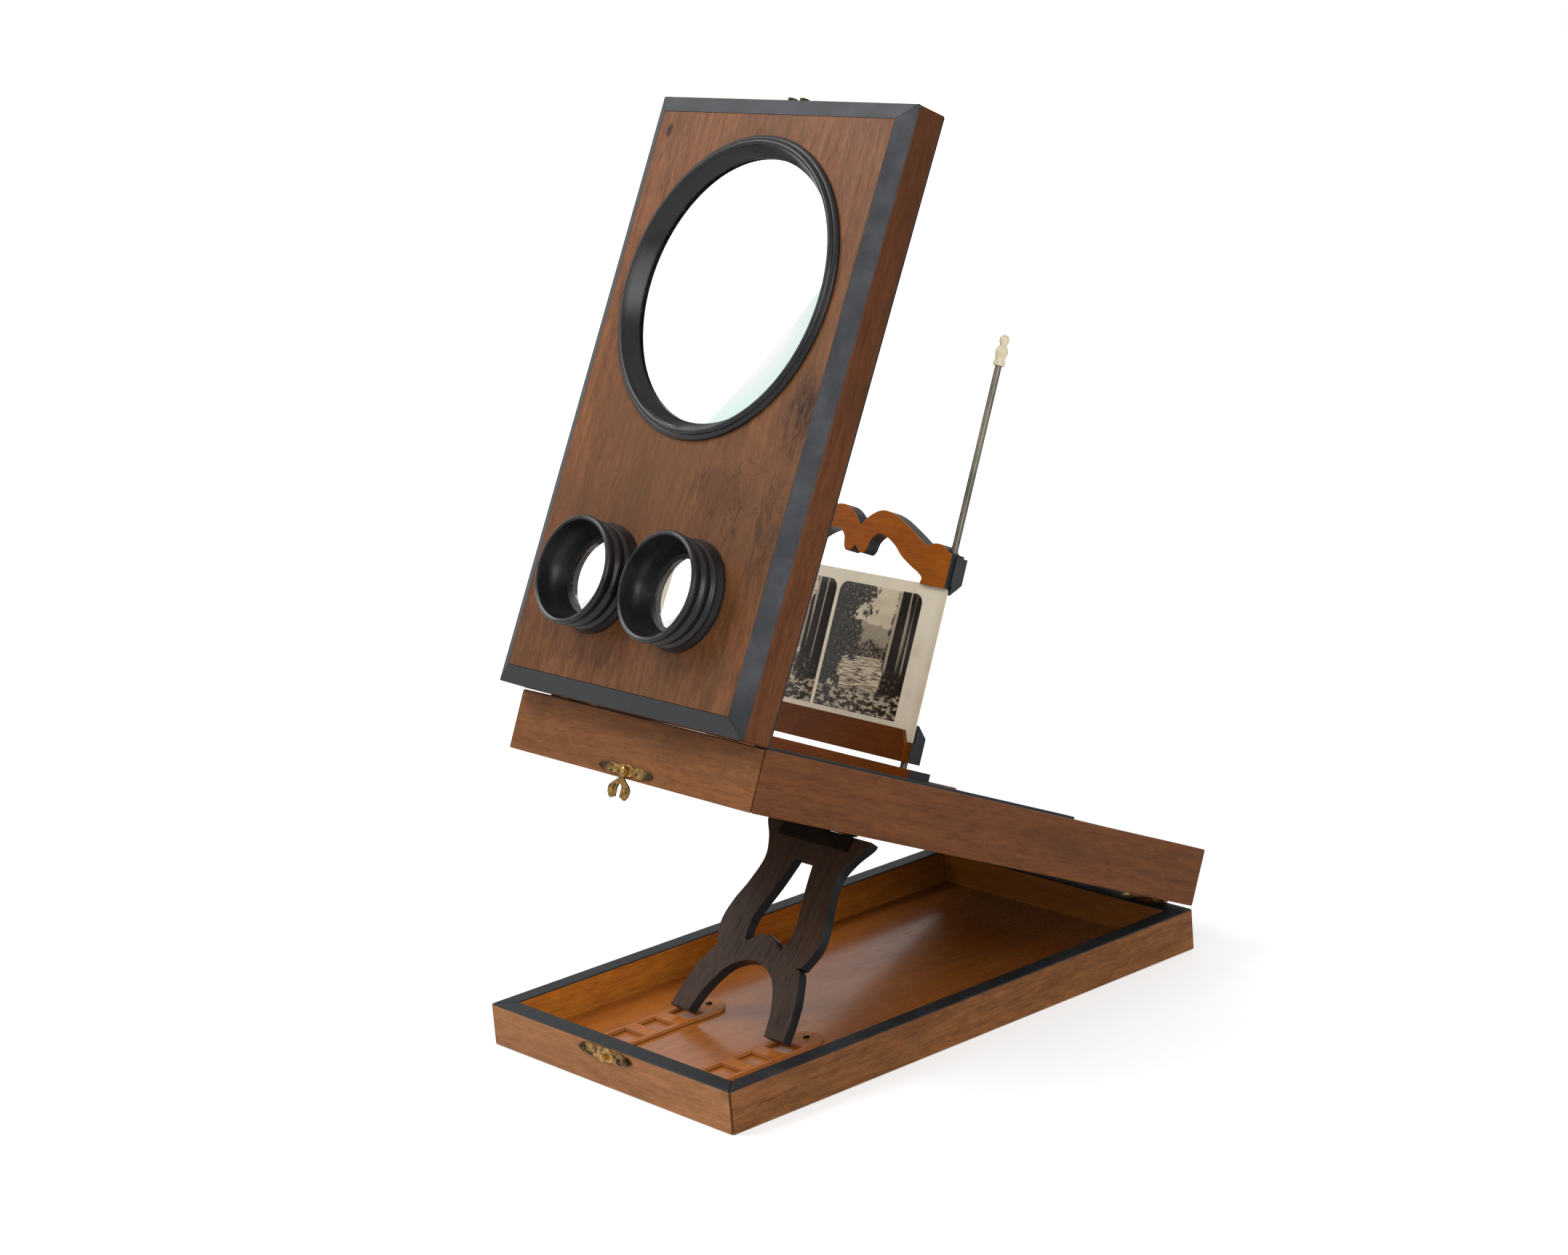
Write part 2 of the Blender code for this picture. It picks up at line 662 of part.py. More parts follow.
def build_tray():
    tops = {"rear": DECK_TOP}
    middle_y = (TRAY_REAR_Y + TRAY_FRONT_Y) / 2
    boards = box_sides(
        "tray", HALF_WIDTH, HALF_LENGTH, middle_y, WALL, TRAY_FOOT, RIM, TRAY, WALNUT, tops
    )
    inner_rear = TRAY_REAR_Y - WALL - GAP
    inner_front = TRAY_FRONT_Y + WALL + GAP
    across = (-INNER_HALF, INNER_HALF)
    along = (inner_front, inner_rear)
    new_piece("tray_deck", block(across, along, (DECK_TOP - DECK_THICK, DECK_TOP)), TRAY, VARNISHED)
    under = (TRAY_FOOT + GAP, TRAY_FOOT + GAP + UNDERBOARD_THICK)
    new_piece("tray_underboard", block(across, along, under), TRAY, WALNUT)
    runner_inner = BAR_HALF + SLIDE_GAP
    runner_rear = TRAY_REAR_Y - RUNNER_END
    for side, sign in (("left", -1), ("right", 1)):
        x = sorted((sign * runner_inner, sign * INNER_HALF))
        mesh = block(x, (inner_front, runner_rear), (DECK_TOP + GAP, RIM + RUNNER_PROUD))
        new_piece(f"runner_{side}", mesh, TRAY, EBONISED)
    for side, sign in (("left", -1), ("right", 1)):
        middle = sign * REAR_HINGE_X
        hinge_leaf(
            f"rear_hinge_{side}_moving_leaf", middle, REAR_HINGE_WIDE, REAR_HINGE_LEAF,
            (0, -1, 0), (0, 0, 1), TRAY_FOOT + LEAF_THICK / 2, TRAY, BRASS, False,
        )
        cut(boards["rear"], leaf_recess(middle, 0, TRAY_FOOT, TRAY_FOOT + LEAF_THICK + GAP))
    build_hook(boards["front"])
    build_panel_hinges_fixed()
    strut_pin = new_frame("strut_hinge_pin", TRAY, (0, STRUT_PIVOT_Y, STRUT_PIVOT_Z))
    hinge_leaf(
        "strut_hinge_fixed_leaf", 0, STRUT_HINGE_WIDE, STRUT_HINGE_LEAF,
        (0, 1, 0), (0, 0, 1), STRUT_PIVOT_DROP - GAP - LEAF_THICK / 2, strut_pin, BRASS, True,
    )


# Right half of the hook's edge below its pivot, as shares of its half width and its reach
HOOK_EDGE_SHARES = (
    (0.0, 0.20, False),
    (0.26, 0.12, False),
    (0.30, -0.06, False),
    (0.18, -0.24, True),
    (0.42, -0.34, False),
    (0.96, -0.56, False),
    (1.0, -0.78, False),
    (0.70, -0.98, False),
    (0.40, -0.92, True),
)


def build_hook(front_board):
    face = TRAY_FRONT_Y
    pivot_z = TRAY_FOOT + HOOK_PIVOT_RISE
    plate_front = face - GAP - PLATE_THICK
    plate = new_piece(
        "hook_plate", ornate_plate(pivot_z, HOOK_PLATE_TALL / 2, plate_front, face - GAP), TRAY, BRASS
    )
    head_seat = plate_stack()
    hole = SHANK_RADIUS + GAP
    deep = face + SHANK_BITE + GAP
    for drilled in (plate, front_board):
        cut(drilled, rod(hole, (0, face - OVERRUN, pivot_z), (0, deep, pivot_z)))
    pivot = screw_mesh(
        SCREW_HEAD, SCREW_HEAD_TALL, SHANK_RADIUS, SHANK_BITE + head_seat,
        facing_front(0, face - head_seat, pivot_z),
    )
    new_piece("hook_pivot_screw", pivot, TRAY, BRASS)
    hook_frame = new_frame("hook_pivot", TRAY, (0, face, pivot_z))
    outer = smooth_path(scaled(HOOK_EDGE_SHARES, HOOK_HALF, HOOK_REACH))
    mouth_top = -(STUD_DROP + HOOK_PIVOT_RISE + TRAY_LIFT - HOOK_MOUTH)
    slot = [(HOOK_MOUTH, outer[-1][1]), (HOOK_MOUTH, mouth_top)]
    crown = arc((0, mouth_top), HOOK_MOUTH, 0, 90, CURVE_STEPS)[1:]
    back = -(2 * GAP + PLATE_THICK)
    mesh = front_slab(mirrored(outer + slot + crown), back - HOOK_THICK, back)
    hook = new_piece("hook", mesh, hook_frame, BRASS)
    cut(hook, rod(SHANK_RADIUS + RUN, (0, back + OVERRUN, 0), (0, back - HOOK_THICK - OVERRUN, 0)))


def build_panel_hinges_fixed():
    offset = RIM + GAP + LEAF_THICK / 2 - PANEL_PIVOT_Z
    for side, sign in (("left", -1), ("right", 1)):
        pin = new_frame(f"panel_hinge_{side}_pin", TRAY, (0, PANEL_PIVOT_Y, PANEL_PIVOT_Z))
        hinge_leaf(
            f"panel_hinge_{side}_fixed_leaf", sign * PANEL_HINGE_X, PANEL_HINGE_WIDE,
            PANEL_HINGE_LEAF, (0, 1, 0), (0, 0, 1), offset, pin, BRASS, True,
        )


# Right half of the strut's outer edge, from the top centre to the inner side of the foot:
# shares of the half width, and of the length from foot to pivot
STRUT_EDGE_SHARES = (
    (0.885, 0.0, True),
    (0.868, -0.028, False),
    (0.72, -0.108, False),
    (0.633, -0.205, False),
    (0.700, -0.333, False),
    (0.800, -0.440, False),
    (0.836, -0.545, False),
    (0.745, -0.652, True),
    (0.665, -0.664, True),
    (0.745, -0.674, False),
    (0.885, -0.790, False),
    (0.960, -0.905, False),
    (0.990, -1.0, True),
)
STRUT_ARCH_SHARES = (
    (0.665, -1.0, True),
    (0.590, -0.885, False),
    (0.425, -0.766, False),
    (0.220, -0.706, False),
    (0.0, -0.686, False),
)
STRUT_OPENING_SHARES = (
    (0.0, -0.168, True),
    (0.155, -0.168, True),
    (0.235, -0.305, False),
    (0.335, -0.435, False),
    (0.368, -0.520, False),
    (0.315, -0.598, False),
    (0.245, -0.592, False),
    (0.130, -0.560, False),
    (0.0, -0.545, False),
)


def build_strut():
    top = -STRUT_TOP_GAP
    reach = STRUT_REACH - STRUT_TOP_GAP
    edge = smooth_path(scaled(STRUT_EDGE_SHARES, STRUT_HALF, reach, top))
    arch = smooth_path(scaled(STRUT_ARCH_SHARES, STRUT_HALF, reach, top))
    outline = mirrored([(0, top), *edge, *arch])
    opening = mirrored(smooth_path(scaled(STRUT_OPENING_SHARES, STRUT_HALF, reach, top)))
    # Folded flat, the board's length runs along -Y, so Z in the outline becomes Y
    lay = basis((1, 0, 0), (0, 1, 0), (0, 0, -STRUT_SET_OFF))
    strut = new_piece("strut", slab(outline, STRUT_THICK, lay), STRUT, DARK_WOOD)
    cut(strut, slab(opening, STRUT_THICK + OVERRUN, lay))
    offset = -STRUT_SET_OFF + STRUT_THICK / 2 + GAP + LEAF_THICK / 2
    hinge_leaf(
        "strut_hinge_moving_leaf", 0, STRUT_HINGE_WIDE, STRUT_HINGE_LEAF,
        (0, -1, 0), (0, 0, 1), offset, STRUT, BRASS, False,
    )


def border_strip(side, length, turn, place):
    """A mitred strip of the border, drawn with its outer edge along X and its inner edge above."""
    builder = bmesh.new()
    bmesh.ops.create_cube(builder, size=2.0)
    joint = GAP / math.sqrt(2)
    for vert in builder.verts:
        inner = vert.co.z > 0
        front = vert.co.y < 0
        vert.co.x *= length / 2 - joint - (BORDER_WIDE if inner else 0)
        vert.co.z = BORDER_WIDE if inner else 0
        vert.co.y = (FIELD if inner else 0) if front else BORDER_EDGE
    matrix = Matrix.Translation(place) @ Matrix.Rotation(turn, 4, "Y")
    bmesh.ops.transform(builder, matrix=matrix, verts=builder.verts)
    new_piece(f"border_{side}", mesh_from(builder), PANEL, EBONISED)


def build_panel():
    foot = PANEL_FOOT
    head = foot + PANEL_LENGTH
    middle_z = foot + PANEL_LENGTH / 2
    side_front = PANEL_FACE + BORDER_EDGE + GAP
    side_back = PANEL_FACE + PANEL_THICK
    # The boards of the panel's shallow box are drawn lying down and then stood up
    stand = Matrix.Rotation(math.pi / 2, 4, "X")
    sides = {
        "bottom": (2 * HALF_WIDTH, 0, (0, foot)),
        "right": (PANEL_LENGTH, math.pi / 2, (HALF_WIDTH, middle_z)),
        "top": (2 * HALF_WIDTH, math.pi, (0, head)),
        "left": (PANEL_LENGTH, -math.pi / 2, (-HALF_WIDTH, middle_z)),
    }
    for side, (length, turn, (x, z)) in sides.items():
        mesh = mitred_board(length, PANEL_WALL, -side_back, -side_front, turn, (x, z, 0))
        mesh.transform(stand)
        soften(new_piece(f"panel_{side}_board", mesh, PANEL, WALNUT))
        border_strip(side, length, -turn, (x, PANEL_FACE, z))
    build_lens_board(foot, head)
    build_lens()
    build_eyepieces()
    build_catch(head)
    for side, sign in (("left", -1), ("right", 1)):
        hinge_leaf(
            f"panel_hinge_{side}_moving_leaf", sign * PANEL_HINGE_X, PANEL_HINGE_WIDE,
            PANEL_HINGE_LEAF, (0, 0, 1), (0, -1, 0), HINGE_RADIUS - LEAF_THICK / 2,
            PANEL, BRASS, False,
        )


def build_lens_board(foot, head):
    field_in = BORDER_WIDE + GAP
    flange_in = PANEL_WALL + GAP
    field_y = PANEL_FACE + FIELD
    flange_y = PANEL_FACE + BORDER_EDGE + GAP
    back_y = PANEL_FACE + BOARD_BACK
    board = new_piece(
        "lens_board",
        block(
            (-HALF_WIDTH + flange_in, HALF_WIDTH - flange_in),
            (flange_y, back_y),
            (foot + flange_in, head - flange_in),
        ),
        PANEL,
        WALNUT,
    )
    field = block(
        (-HALF_WIDTH + field_in, HALF_WIDTH - field_in),
        (field_y, back_y - OVERRUN / 2),
        (foot + field_in, head - field_in),
    )
    join(board, field)
    lens_z = foot + LENS_HEIGHT
    eye_z = foot + EYE_HEIGHT
    ends = (field_y - OVERRUN, back_y + OVERRUN)
    bore = RING_SPIGOT + GAP
    cut(board, rod(bore, (0, ends[0], lens_z), (0, ends[1], lens_z), LENS_STEPS))
    for sign in (-1, 1):
        x = sign * EYE_OFFSET
        bore = EYE_SPIGOT + GAP
        cut(board, rod(bore, (x, ends[0], eye_z), (x, ends[1], eye_z), EYE_STEPS))


def lens_stand_off(radius, opening, edge, curve):
    """From a seat round the opening to the middle of the lens that rests against it."""
    return edge / 2 + math.sqrt(curve**2 - opening**2) - math.sqrt(curve**2 - radius**2) + GAP


def lens_profile(radius, edge, curve, steps=4):
    """A lens with two equal curved faces, its edge centred on height zero."""
    sag = curve - math.sqrt(curve**2 - radius**2)
    half = edge / 2

    def height(r):
        return half + sag - (curve - math.sqrt(curve**2 - r**2))

    radii = [radius * i / steps for i in range(steps + 1)]
    upper = [(r, height(r)) for r in radii]
    return upper + [(r, -up) for r, up in reversed(upper)]


# The lens ring's crest from its inner side to its outer foot: how far in from its outer edge
# and how high above the board, both as shares of its rise
RING_CREST_SHARES = (
    (1.38, 0.75),
    (1.13, 0.95),
    (0.75, 1.0),
    (0.12, 0.70),
    (0.0, 0.30),
    (0.0, 0.0),
)


def build_lens():
    lens_z = PANEL_FOOT + LENS_HEIGHT
    place = facing_front(0, PANEL_FACE, lens_z)
    seat = -FIELD + GAP
    rebate = LENS_RADIUS + GAP
    back = -BOARD_BACK
    # Heights count towards the viewer from the plane of the panel's outer front edge, and the
    # lens bears on the ring in that plane
    ring = [
        *((RING_RADIUS - r * RING_RISE, seat + h * RING_RISE) for r, h in RING_CREST_SHARES),
        (RING_SPIGOT, seat),
        (RING_SPIGOT, back),
        (rebate, back),
        (rebate, 0),
        (LENS_OPENING, 0),
        (LENS_OPENING, RING_LIP),
    ]
    new_piece("lens_ring", turned(ring, LENS_STEPS, place), PANEL, EBONISED)
    lens = lens_profile(LENS_RADIUS, LENS_EDGE, LENS_CURVE)
    stand_off = lens_stand_off(LENS_RADIUS, LENS_OPENING, LENS_EDGE, LENS_CURVE)
    lens_middle = facing_front(0, PANEL_FACE + stand_off, lens_z)
    new_piece("magnifying_lens", turned(lens, LENS_STEPS, lens_middle), PANEL, GLASS)
    retainer_front = -2 * stand_off
    retainer_back = retainer_front - RETAINER_THICK
    retainer = [
        (LENS_RADIUS, retainer_front),
        (LENS_RADIUS, retainer_back),
        (LENS_OPENING, retainer_back),
        (LENS_OPENING, retainer_front - RETAINER_BEVEL),
        (LENS_RADIUS - GAP, retainer_front),
    ]
    new_piece("lens_retainer", turned(retainer, LENS_STEPS, place), PANEL, EBONISED)


# An eyepiece's outer side, as shares of its radius and of its rise from the board
EYE_OUTER_SHARES = (
    (0.945, 1.0),
    (0.985, 0.965),
    (1.0, 0.89),
    (0.975, 0.80),
    (0.925, 0.73),
    (0.925, 0.67),
    (0.965, 0.60),
    (0.975, 0.52),
    (0.935, 0.43),
    (0.930, 0.36),
    (0.975, 0.29),
    (0.985, 0.20),
    (1.0, 0.13),
    (1.015, 0.06),
    (1.015, 0.0),
)
EYE_MOUTH_SHARES = ((0.0, 0.30), (0.32, 0.56), (0.62, 0.82), (1.0, 1.0))


def build_eyepieces():
    eye_z = PANEL_FOOT + EYE_HEIGHT
    seat = -FIELD + GAP
    mouth = seat + EYE_RISE
    throat = mouth - EYE_DEPTH
    rebate = EYE_LENS_RADIUS + GAP
    back = -BOARD_BACK
    outer = [(r * EYE_RADIUS, seat + h * EYE_RISE) for r, h in EYE_OUTER_SHARES]
    mouth_radius = EYE_RADIUS * EYE_MOUTH_RADIUS_SHARE
    opening = [
        (EYE_OPENING + r * (mouth_radius - EYE_OPENING), throat + h * (EYE_DEPTH - EDGE))
        for h, r in EYE_MOUTH_SHARES
    ]
    inner = [(EYE_SPIGOT, seat), (EYE_SPIGOT, back), (rebate, back), (rebate, throat - EDGE)]
    profile = outer + inner + [(EYE_OPENING, throat - EDGE)] + opening
    lens = lens_profile(EYE_LENS_RADIUS, EYE_LENS_EDGE, EYE_LENS_CURVE)
    for side, sign in (("left", -1), ("right", 1)):
        x = sign * EYE_OFFSET
        place = facing_front(x, PANEL_FACE, eye_z)
        new_piece(f"eyepiece_{side}", turned(profile, EYE_STEPS, place), PANEL, EBONISED)
        stand_off = lens_stand_off(EYE_LENS_RADIUS, EYE_OPENING, EYE_LENS_EDGE, EYE_LENS_CURVE)
        lens_middle = throat - EDGE - stand_off
        lens_place = facing_front(x, PANEL_FACE - lens_middle, eye_z)
        new_piece(f"eye_lens_{side}", turned(lens, EYE_STEPS, lens_place), PANEL, GLASS)


def build_catch(head):
    middle_y = PANEL_FACE + PANEL_THICK - CATCH_BACK
    low = head + GAP
    along = (middle_y - CATCH_DEEP / 2, middle_y + CATCH_DEEP / 2)
    plate = block((-CATCH_HALF, CATCH_HALF), along, (low, low + CATCH_THICK))
    catch = new_piece("panel_catch", plate, PANEL, BRASS)
    boss = CATCH_DEEP / 2 - EDGE
    top = low + CATCH_THICK + CATCH_BOSS
    for x in (-CATCH_HALF / 2, CATCH_HALF / 2):
        join(catch, rod(boss, (x, middle_y, low + CATCH_THICK / 2), (x, middle_y, top)))


def build_slide_bar():
    # Drawn about the rods' pivot line, so that heights above the rim lose the pivot's own rise
    low = -PIVOT_RISE - DECK_RECESS + GAP
    top = BAR_TOP - PIVOT_RISE
    beam = block((-BAR_HALF, BAR_HALF), (-BAR_FRONT, BAR_REAR), (low, top))
    bar = new_piece("slide_bar", beam, CARRIAGE, EBONISED)
    cheek_inner = RAIL_HALF + CHEEK_GAP
    for sign in (-1, 1):
        x = sorted((sign * cheek_inner, sign * BAR_HALF))
        join(bar, block(x, (0, CHEEK_REAR), (low, top)))
        middle = sign * ROD_OFFSET
        half = ROD_RADIUS + SLIDE_GAP
        swing = math.hypot(ROD_RADIUS, ROD_FOOT) + GAP
        across = (middle - half, middle + half)
        cut(bar, block(across, (-swing, BAR_REAR + OVERRUN), (-swing, top + OVERRUN)))
        pin_half = half + ROD_PIN_BITE + GAP
        hole = ROD_PIN_RADIUS + RUN
        cut(bar, rod(hole, (middle - pin_half, 0, 0), (middle + pin_half, 0, 0), PIN_STEPS))


FINIAL_SHARES = (
    (0.0, 1.0),
    (0.42, 0.975),
    (0.72, 0.90),
    (0.80, 0.81),
    (0.66, 0.71),
    (0.50, 0.65),
    (0.74, 0.60),
    (0.98, 0.49),
    (0.98, 0.39),
    (0.84, 0.27),
    (0.80, 0.17),
    (0.95, 0.13),
    (0.95, 0.0),
)


def build_rods():
    pin_half = ROD_RADIUS + SLIDE_GAP + ROD_PIN_BITE
    finial_foot = FINIAL_FOOT - PIVOT_RISE
    rod_top = finial_foot + FINIAL_SOCKET
    for side, sign in (("left", -1), ("right", 1)):
        x = sign * ROD_OFFSET
        mesh = rod(ROD_RADIUS, (x, 0, -ROD_FOOT), (x, 0, rod_top - GAP))
        bar = new_piece(f"rod_{side}", mesh, HOLDER, BRASS)
        join(bar, rod(ROD_PIN_RADIUS, (x - pin_half, 0, 0), (x + pin_half, 0, 0), PIN_STEPS))
        outer = [(r * FINIAL_RADIUS, h * FINIAL_TALL) for r, h in FINIAL_SHARES]
        finial = turned([*outer, (0, 0)], SMALL_STEPS, Matrix.Translation((x, 0, finial_foot)))
        knob = new_piece(f"finial_{side}", finial, HOLDER, BONE)
        bore = ROD_RADIUS + RUN
        cut(knob, rod(bore, (x, 0, finial_foot - OVERRUN), (x, 0, rod_top)))


def rod_bores(low, high):
    """Cutters for the two rods' bores."""
    bore = ROD_RADIUS + RUN
    return [rod(bore, (s * ROD_OFFSET, 0, low), (s * ROD_OFFSET, 0, high)) for s in (-1, 1)]


def build_lower_rail():
    def up(rise):
        return rise - PIVOT_RISE

    section = [
        (-RAIL_FRONT - EDGE, up(LOWER_RAIL_FOOT)),
        (RAIL_REAR, up(LOWER_RAIL_FOOT)),
        (RAIL_REAR, up(LOWER_WALL_REAR)),
        (-RAIL_INNER, up(LOWER_WALL_TOP)),
        (-RAIL_INNER, up(CARD_FOOT - GAP)),
        (-RAIL_FRONT - EDGE, up(CARD_FOOT - GAP)),
    ]
    rail = new_piece("lower_rail", long_slab(section, -RAIL_HALF, RAIL_HALF), LOWER, VARNISHED)
    foot, top = up(LOWER_RAIL_FOOT), up(LOWER_RAIL_FOOT + LIP_TALL)
    half = [(LIP_HALF, foot + GAP), (LIP_HALF, top - LIP_CHAMFER), (LIP_HALF - LIP_CHAMFER / 2, top)]
    join(rail, front_slab(mirrored(half), -LIP_FRONT, -RAIL_FRONT))
    cut(rail, *rod_bores(foot - OVERRUN, up(LOWER_WALL_TOP) + OVERRUN))
    card_low, card_high = up(CARD_FOOT), up(CARD_TOP)
    card_back = -RAIL_INNER - CARD_SET_BACK
    left, right = CARD_SHIFT - CARD_WIDE / 2, CARD_SHIFT + CARD_WIDE / 2
    corner = CARD_CORNER
    outline = [
        (left, card_low),
        (right, card_low),
        *arc((right - corner, card_high - corner), corner, 0, 90, CURVE_STEPS),
        *arc((left + corner, card_high - corner), corner, 90, 180, CURVE_STEPS),
    ]
    new_piece("stereo_card", front_slab(outline, card_back - CARD_THICK, card_back), LOWER, CARD)


def mirrored_open(half):
    """Closes a right half whose first and last points lie on the centre line."""
    return half + [(-across, up) for across, up in reversed(half[1:-1])]


# Right half of the fretwork's top edge, from its cusp to the rail's end: shares of the half
# length, and of the height from the cusp's level (0) to the crown (1)
FRET_TOP_SHARES = (
    (0.0, 0.0, True),
    (0.085, 0.62, False),
    (0.196, 1.0, False),
    (0.330, 0.88, False),
    (0.480, 0.42, False),
    (0.620, -0.10, False),
    (0.723, -0.50, True),
    (0.795, -0.31, False),
    (0.880, -0.34, False),
    (0.959, -0.70, True),
)
# The underside, from the end block back to the centre, in the same shares
FRET_UNDER_SHARES = (
    (0.735, -2.59, True),
    (0.740, -2.25, False),
    (0.690, -2.00, True),
    (0.602, -1.72, False),
    (0.493, -1.30, False),
    (0.400, -0.78, False),
    (0.300, -0.42, False),
    (0.205, -0.33, False),
    (0.140, -0.72, False),
    (0.118, -1.26, False),
    (0.085, -1.50, False),
    (0.045, -1.40, False),
    (0.0, -1.12, True),
)


def build_upper_rail():
    cusp = FRET_CUSP - PIVOT_RISE
    foot = FRET_FOOT - PIVOT_RISE
    top = smooth_path(scaled(FRET_TOP_SHARES, FRET_HALF, FRET_CROWN_RISE, cusp))
    under = smooth_path(scaled(FRET_UNDER_SHARES, FRET_HALF, FRET_CROWN_RISE, cusp))
    end = [(FRET_HALF, top[-1][1]), (FRET_HALF, foot)]
    mesh = front_slab(mirrored_open(top + end + under), -LIP_FRONT, FRET_THICK - LIP_FRONT)
    rail = new_piece("upper_rail", mesh, UPPER, VARNISHED)
    groove_top = CARD_TOP + GAP - PIVOT_RISE
    section = [
        (-RAIL_INNER - 2 * EDGE, UPPER_RAIL_TOP - PIVOT_RISE),
        (RAIL_REAR, UPPER_RAIL_TOP - PIVOT_RISE),
        (RAIL_REAR, UPPER_WALL_REAR - PIVOT_RISE),
        (-RAIL_INNER, UPPER_WALL_FOOT - PIVOT_RISE),
        (-RAIL_INNER, groove_top + EDGE),
        (-RAIL_INNER - 2 * EDGE, groove_top + EDGE),
    ]
    for sign in (-1, 1):
        ends = sorted((sign * END_BLOCK_INNER, sign * RAIL_HALF))
        join(rail, long_slab(section, *ends))
    # The groove that takes the top of the card between the fretwork and the end blocks
    groove_back = -RAIL_INNER
    card_front = groove_back - CARD_SET_BACK - CARD_THICK - GAP
    groove = block(
        (-RAIL_HALF - OVERRUN, RAIL_HALF + OVERRUN),
        (card_front, groove_back),
        (UPPER_WALL_FOOT - PIVOT_RISE - OVERRUN, groove_top),
    )
    cut(rail, groove)
    cut(rail, *rod_bores(UPPER_WALL_FOOT - PIVOT_RISE - OVERRUN, cusp + OVERRUN))


clear_scene()
PARTS = new_collection("graphoscope")
CUTTERS = new_collection("cutters")
CUTTERS.hide_render = True

WALNUT = new_material("walnut", (0.24, 0.085, 0.03), 0.38)
VARNISHED = new_material("varnished_rosewood", (0.42, 0.13, 0.025), 0.25)
EBONISED = new_material("ebonised", (0.012, 0.012, 0.014), 0.35)
DARK_WOOD = new_material("dark_wood", (0.05, 0.02, 0.012), 0.45)
BRASS = new_material("tarnished_brass", (0.42, 0.28, 0.11), 0.42, metallic=1.0)
BONE = new_material("bone", (0.82, 0.74, 0.56), 0.35)
GLASS = new_material("lens_glass", (0.98, 0.99, 0.99), 0.02, transmission=1.0)
CARD = new_material("card", (0.72, 0.66, 0.54), 0.6)

# The strut's hinge hangs just under the tray
STRUT_PIVOT_Y = TRAY_REAR_Y - STRUT_PIVOT_FROM_REAR
STRUT_PIVOT_Z = TRAY_FOOT - STRUT_PIVOT_DROP

# The panel's hinge stands behind its lower edge, just above the tray's rim
PANEL_CORNER_Y = TRAY_FRONT_Y - PANEL_OVERHANG
PANEL_CORNER_Z = RIM + PANEL_SEAT
PANEL_PIVOT_BACK = PANEL_THICK + HINGE_RADIUS + GAP
PANEL_FACE = -PANEL_PIVOT_BACK
PANEL_FOOT = -PANEL_HINGE_RISE
PANEL_PIVOT_Y = (
    PANEL_CORNER_Y
    + PANEL_HINGE_RISE * math.sin(PANEL_LEAN)
    + PANEL_PIVOT_BACK * math.cos(PANEL_LEAN)
)
PANEL_PIVOT_Z = (
    PANEL_CORNER_Z
    + PANEL_HINGE_RISE * math.cos(PANEL_LEAN)
    - PANEL_PIVOT_BACK * math.sin(PANEL_LEAN)
)


def strut_pose():
    """The strut's length and its turn from folded, with its foot just over the racks."""
    tilt = Matrix.Rotation(-TRAY_TILT, 4, "X")
    pin = tilt @ Vector((0, STRUT_PIVOT_Y, STRUT_PIVOT_Z)) + Vector((0, PIN_Y, PIN_Z))
    half = STRUT_THICK / 2
    reach = math.hypot(pin.y - FOOT_Y, pin.z - RACK_TOP)
    lean = math.pi / 4
    for _ in range(FOOT_TRIES):
        # The lowest corner of the foot is on the side that faces forward
        corner_z = RACK_TOP + FOOT_HOVER + half * math.cos(lean)
        along_y, along_z = pin.y - FOOT_Y, pin.z - corner_z
        straight = math.hypot(along_y, along_z)
        reach = math.sqrt(straight**2 - STRUT_SET_OFF**2)
        lean = math.atan2(along_z, along_y) - math.atan2(STRUT_SET_OFF, reach)
    return reach, lean + TRAY_TILT


STRUT_REACH, STRUT_TURN = strut_pose()

BASE = new_frame("base_origin")
TRAY = new_frame("tray_hinge", BASE, (0, PIN_Y, PIN_Z), -TRAY_TILT)
STRUT = new_frame("strut_hinge", TRAY, (0, STRUT_PIVOT_Y, STRUT_PIVOT_Z), STRUT_TURN)
PANEL = new_frame("lens_panel_hinge", TRAY, (0, PANEL_PIVOT_Y, PANEL_PIVOT_Z), -PANEL_LEAN)
CARRIAGE = new_frame("carriage_slide", TRAY, (0, TRAY_REAR_Y - HOLDER_FROM_REAR, RIM + PIVOT_RISE))
HOLDER = new_frame("holder_fold", CARRIAGE)
LOWER = new_frame("lower_rail_slide", HOLDER)
UPPER = new_frame("upper_rail_slide", LOWER)

build_base()
build_tray()
build_strut()
build_panel()
build_slide_bar()
build_rods()
build_lower_rail()
build_upper_rail()
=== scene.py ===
"""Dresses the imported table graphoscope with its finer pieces, its finishes and a plain stage."""

import json
import math

import bmesh
import bpy
from bpy.props import FloatProperty, FloatVectorProperty, PointerProperty
from bpy.types import Operator, Panel, PropertyGroup
from mathutils import Matrix, Vector


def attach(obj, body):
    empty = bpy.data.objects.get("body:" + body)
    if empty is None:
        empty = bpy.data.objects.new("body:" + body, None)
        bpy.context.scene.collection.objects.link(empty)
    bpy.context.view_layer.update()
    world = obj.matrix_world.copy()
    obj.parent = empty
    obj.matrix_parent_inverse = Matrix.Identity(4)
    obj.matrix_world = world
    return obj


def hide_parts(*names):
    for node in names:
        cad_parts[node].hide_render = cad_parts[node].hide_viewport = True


bl_info = {
    "name": "Table graphoscope",
    "version": (1, 0, 0),
    "blender": (4, 5, 0),
    "location": "3D View > Sidebar > Graphoscope",
    "description": "Builds the finer pieces, finishes and stage of a table graphoscope",
    "category": "Object",
}

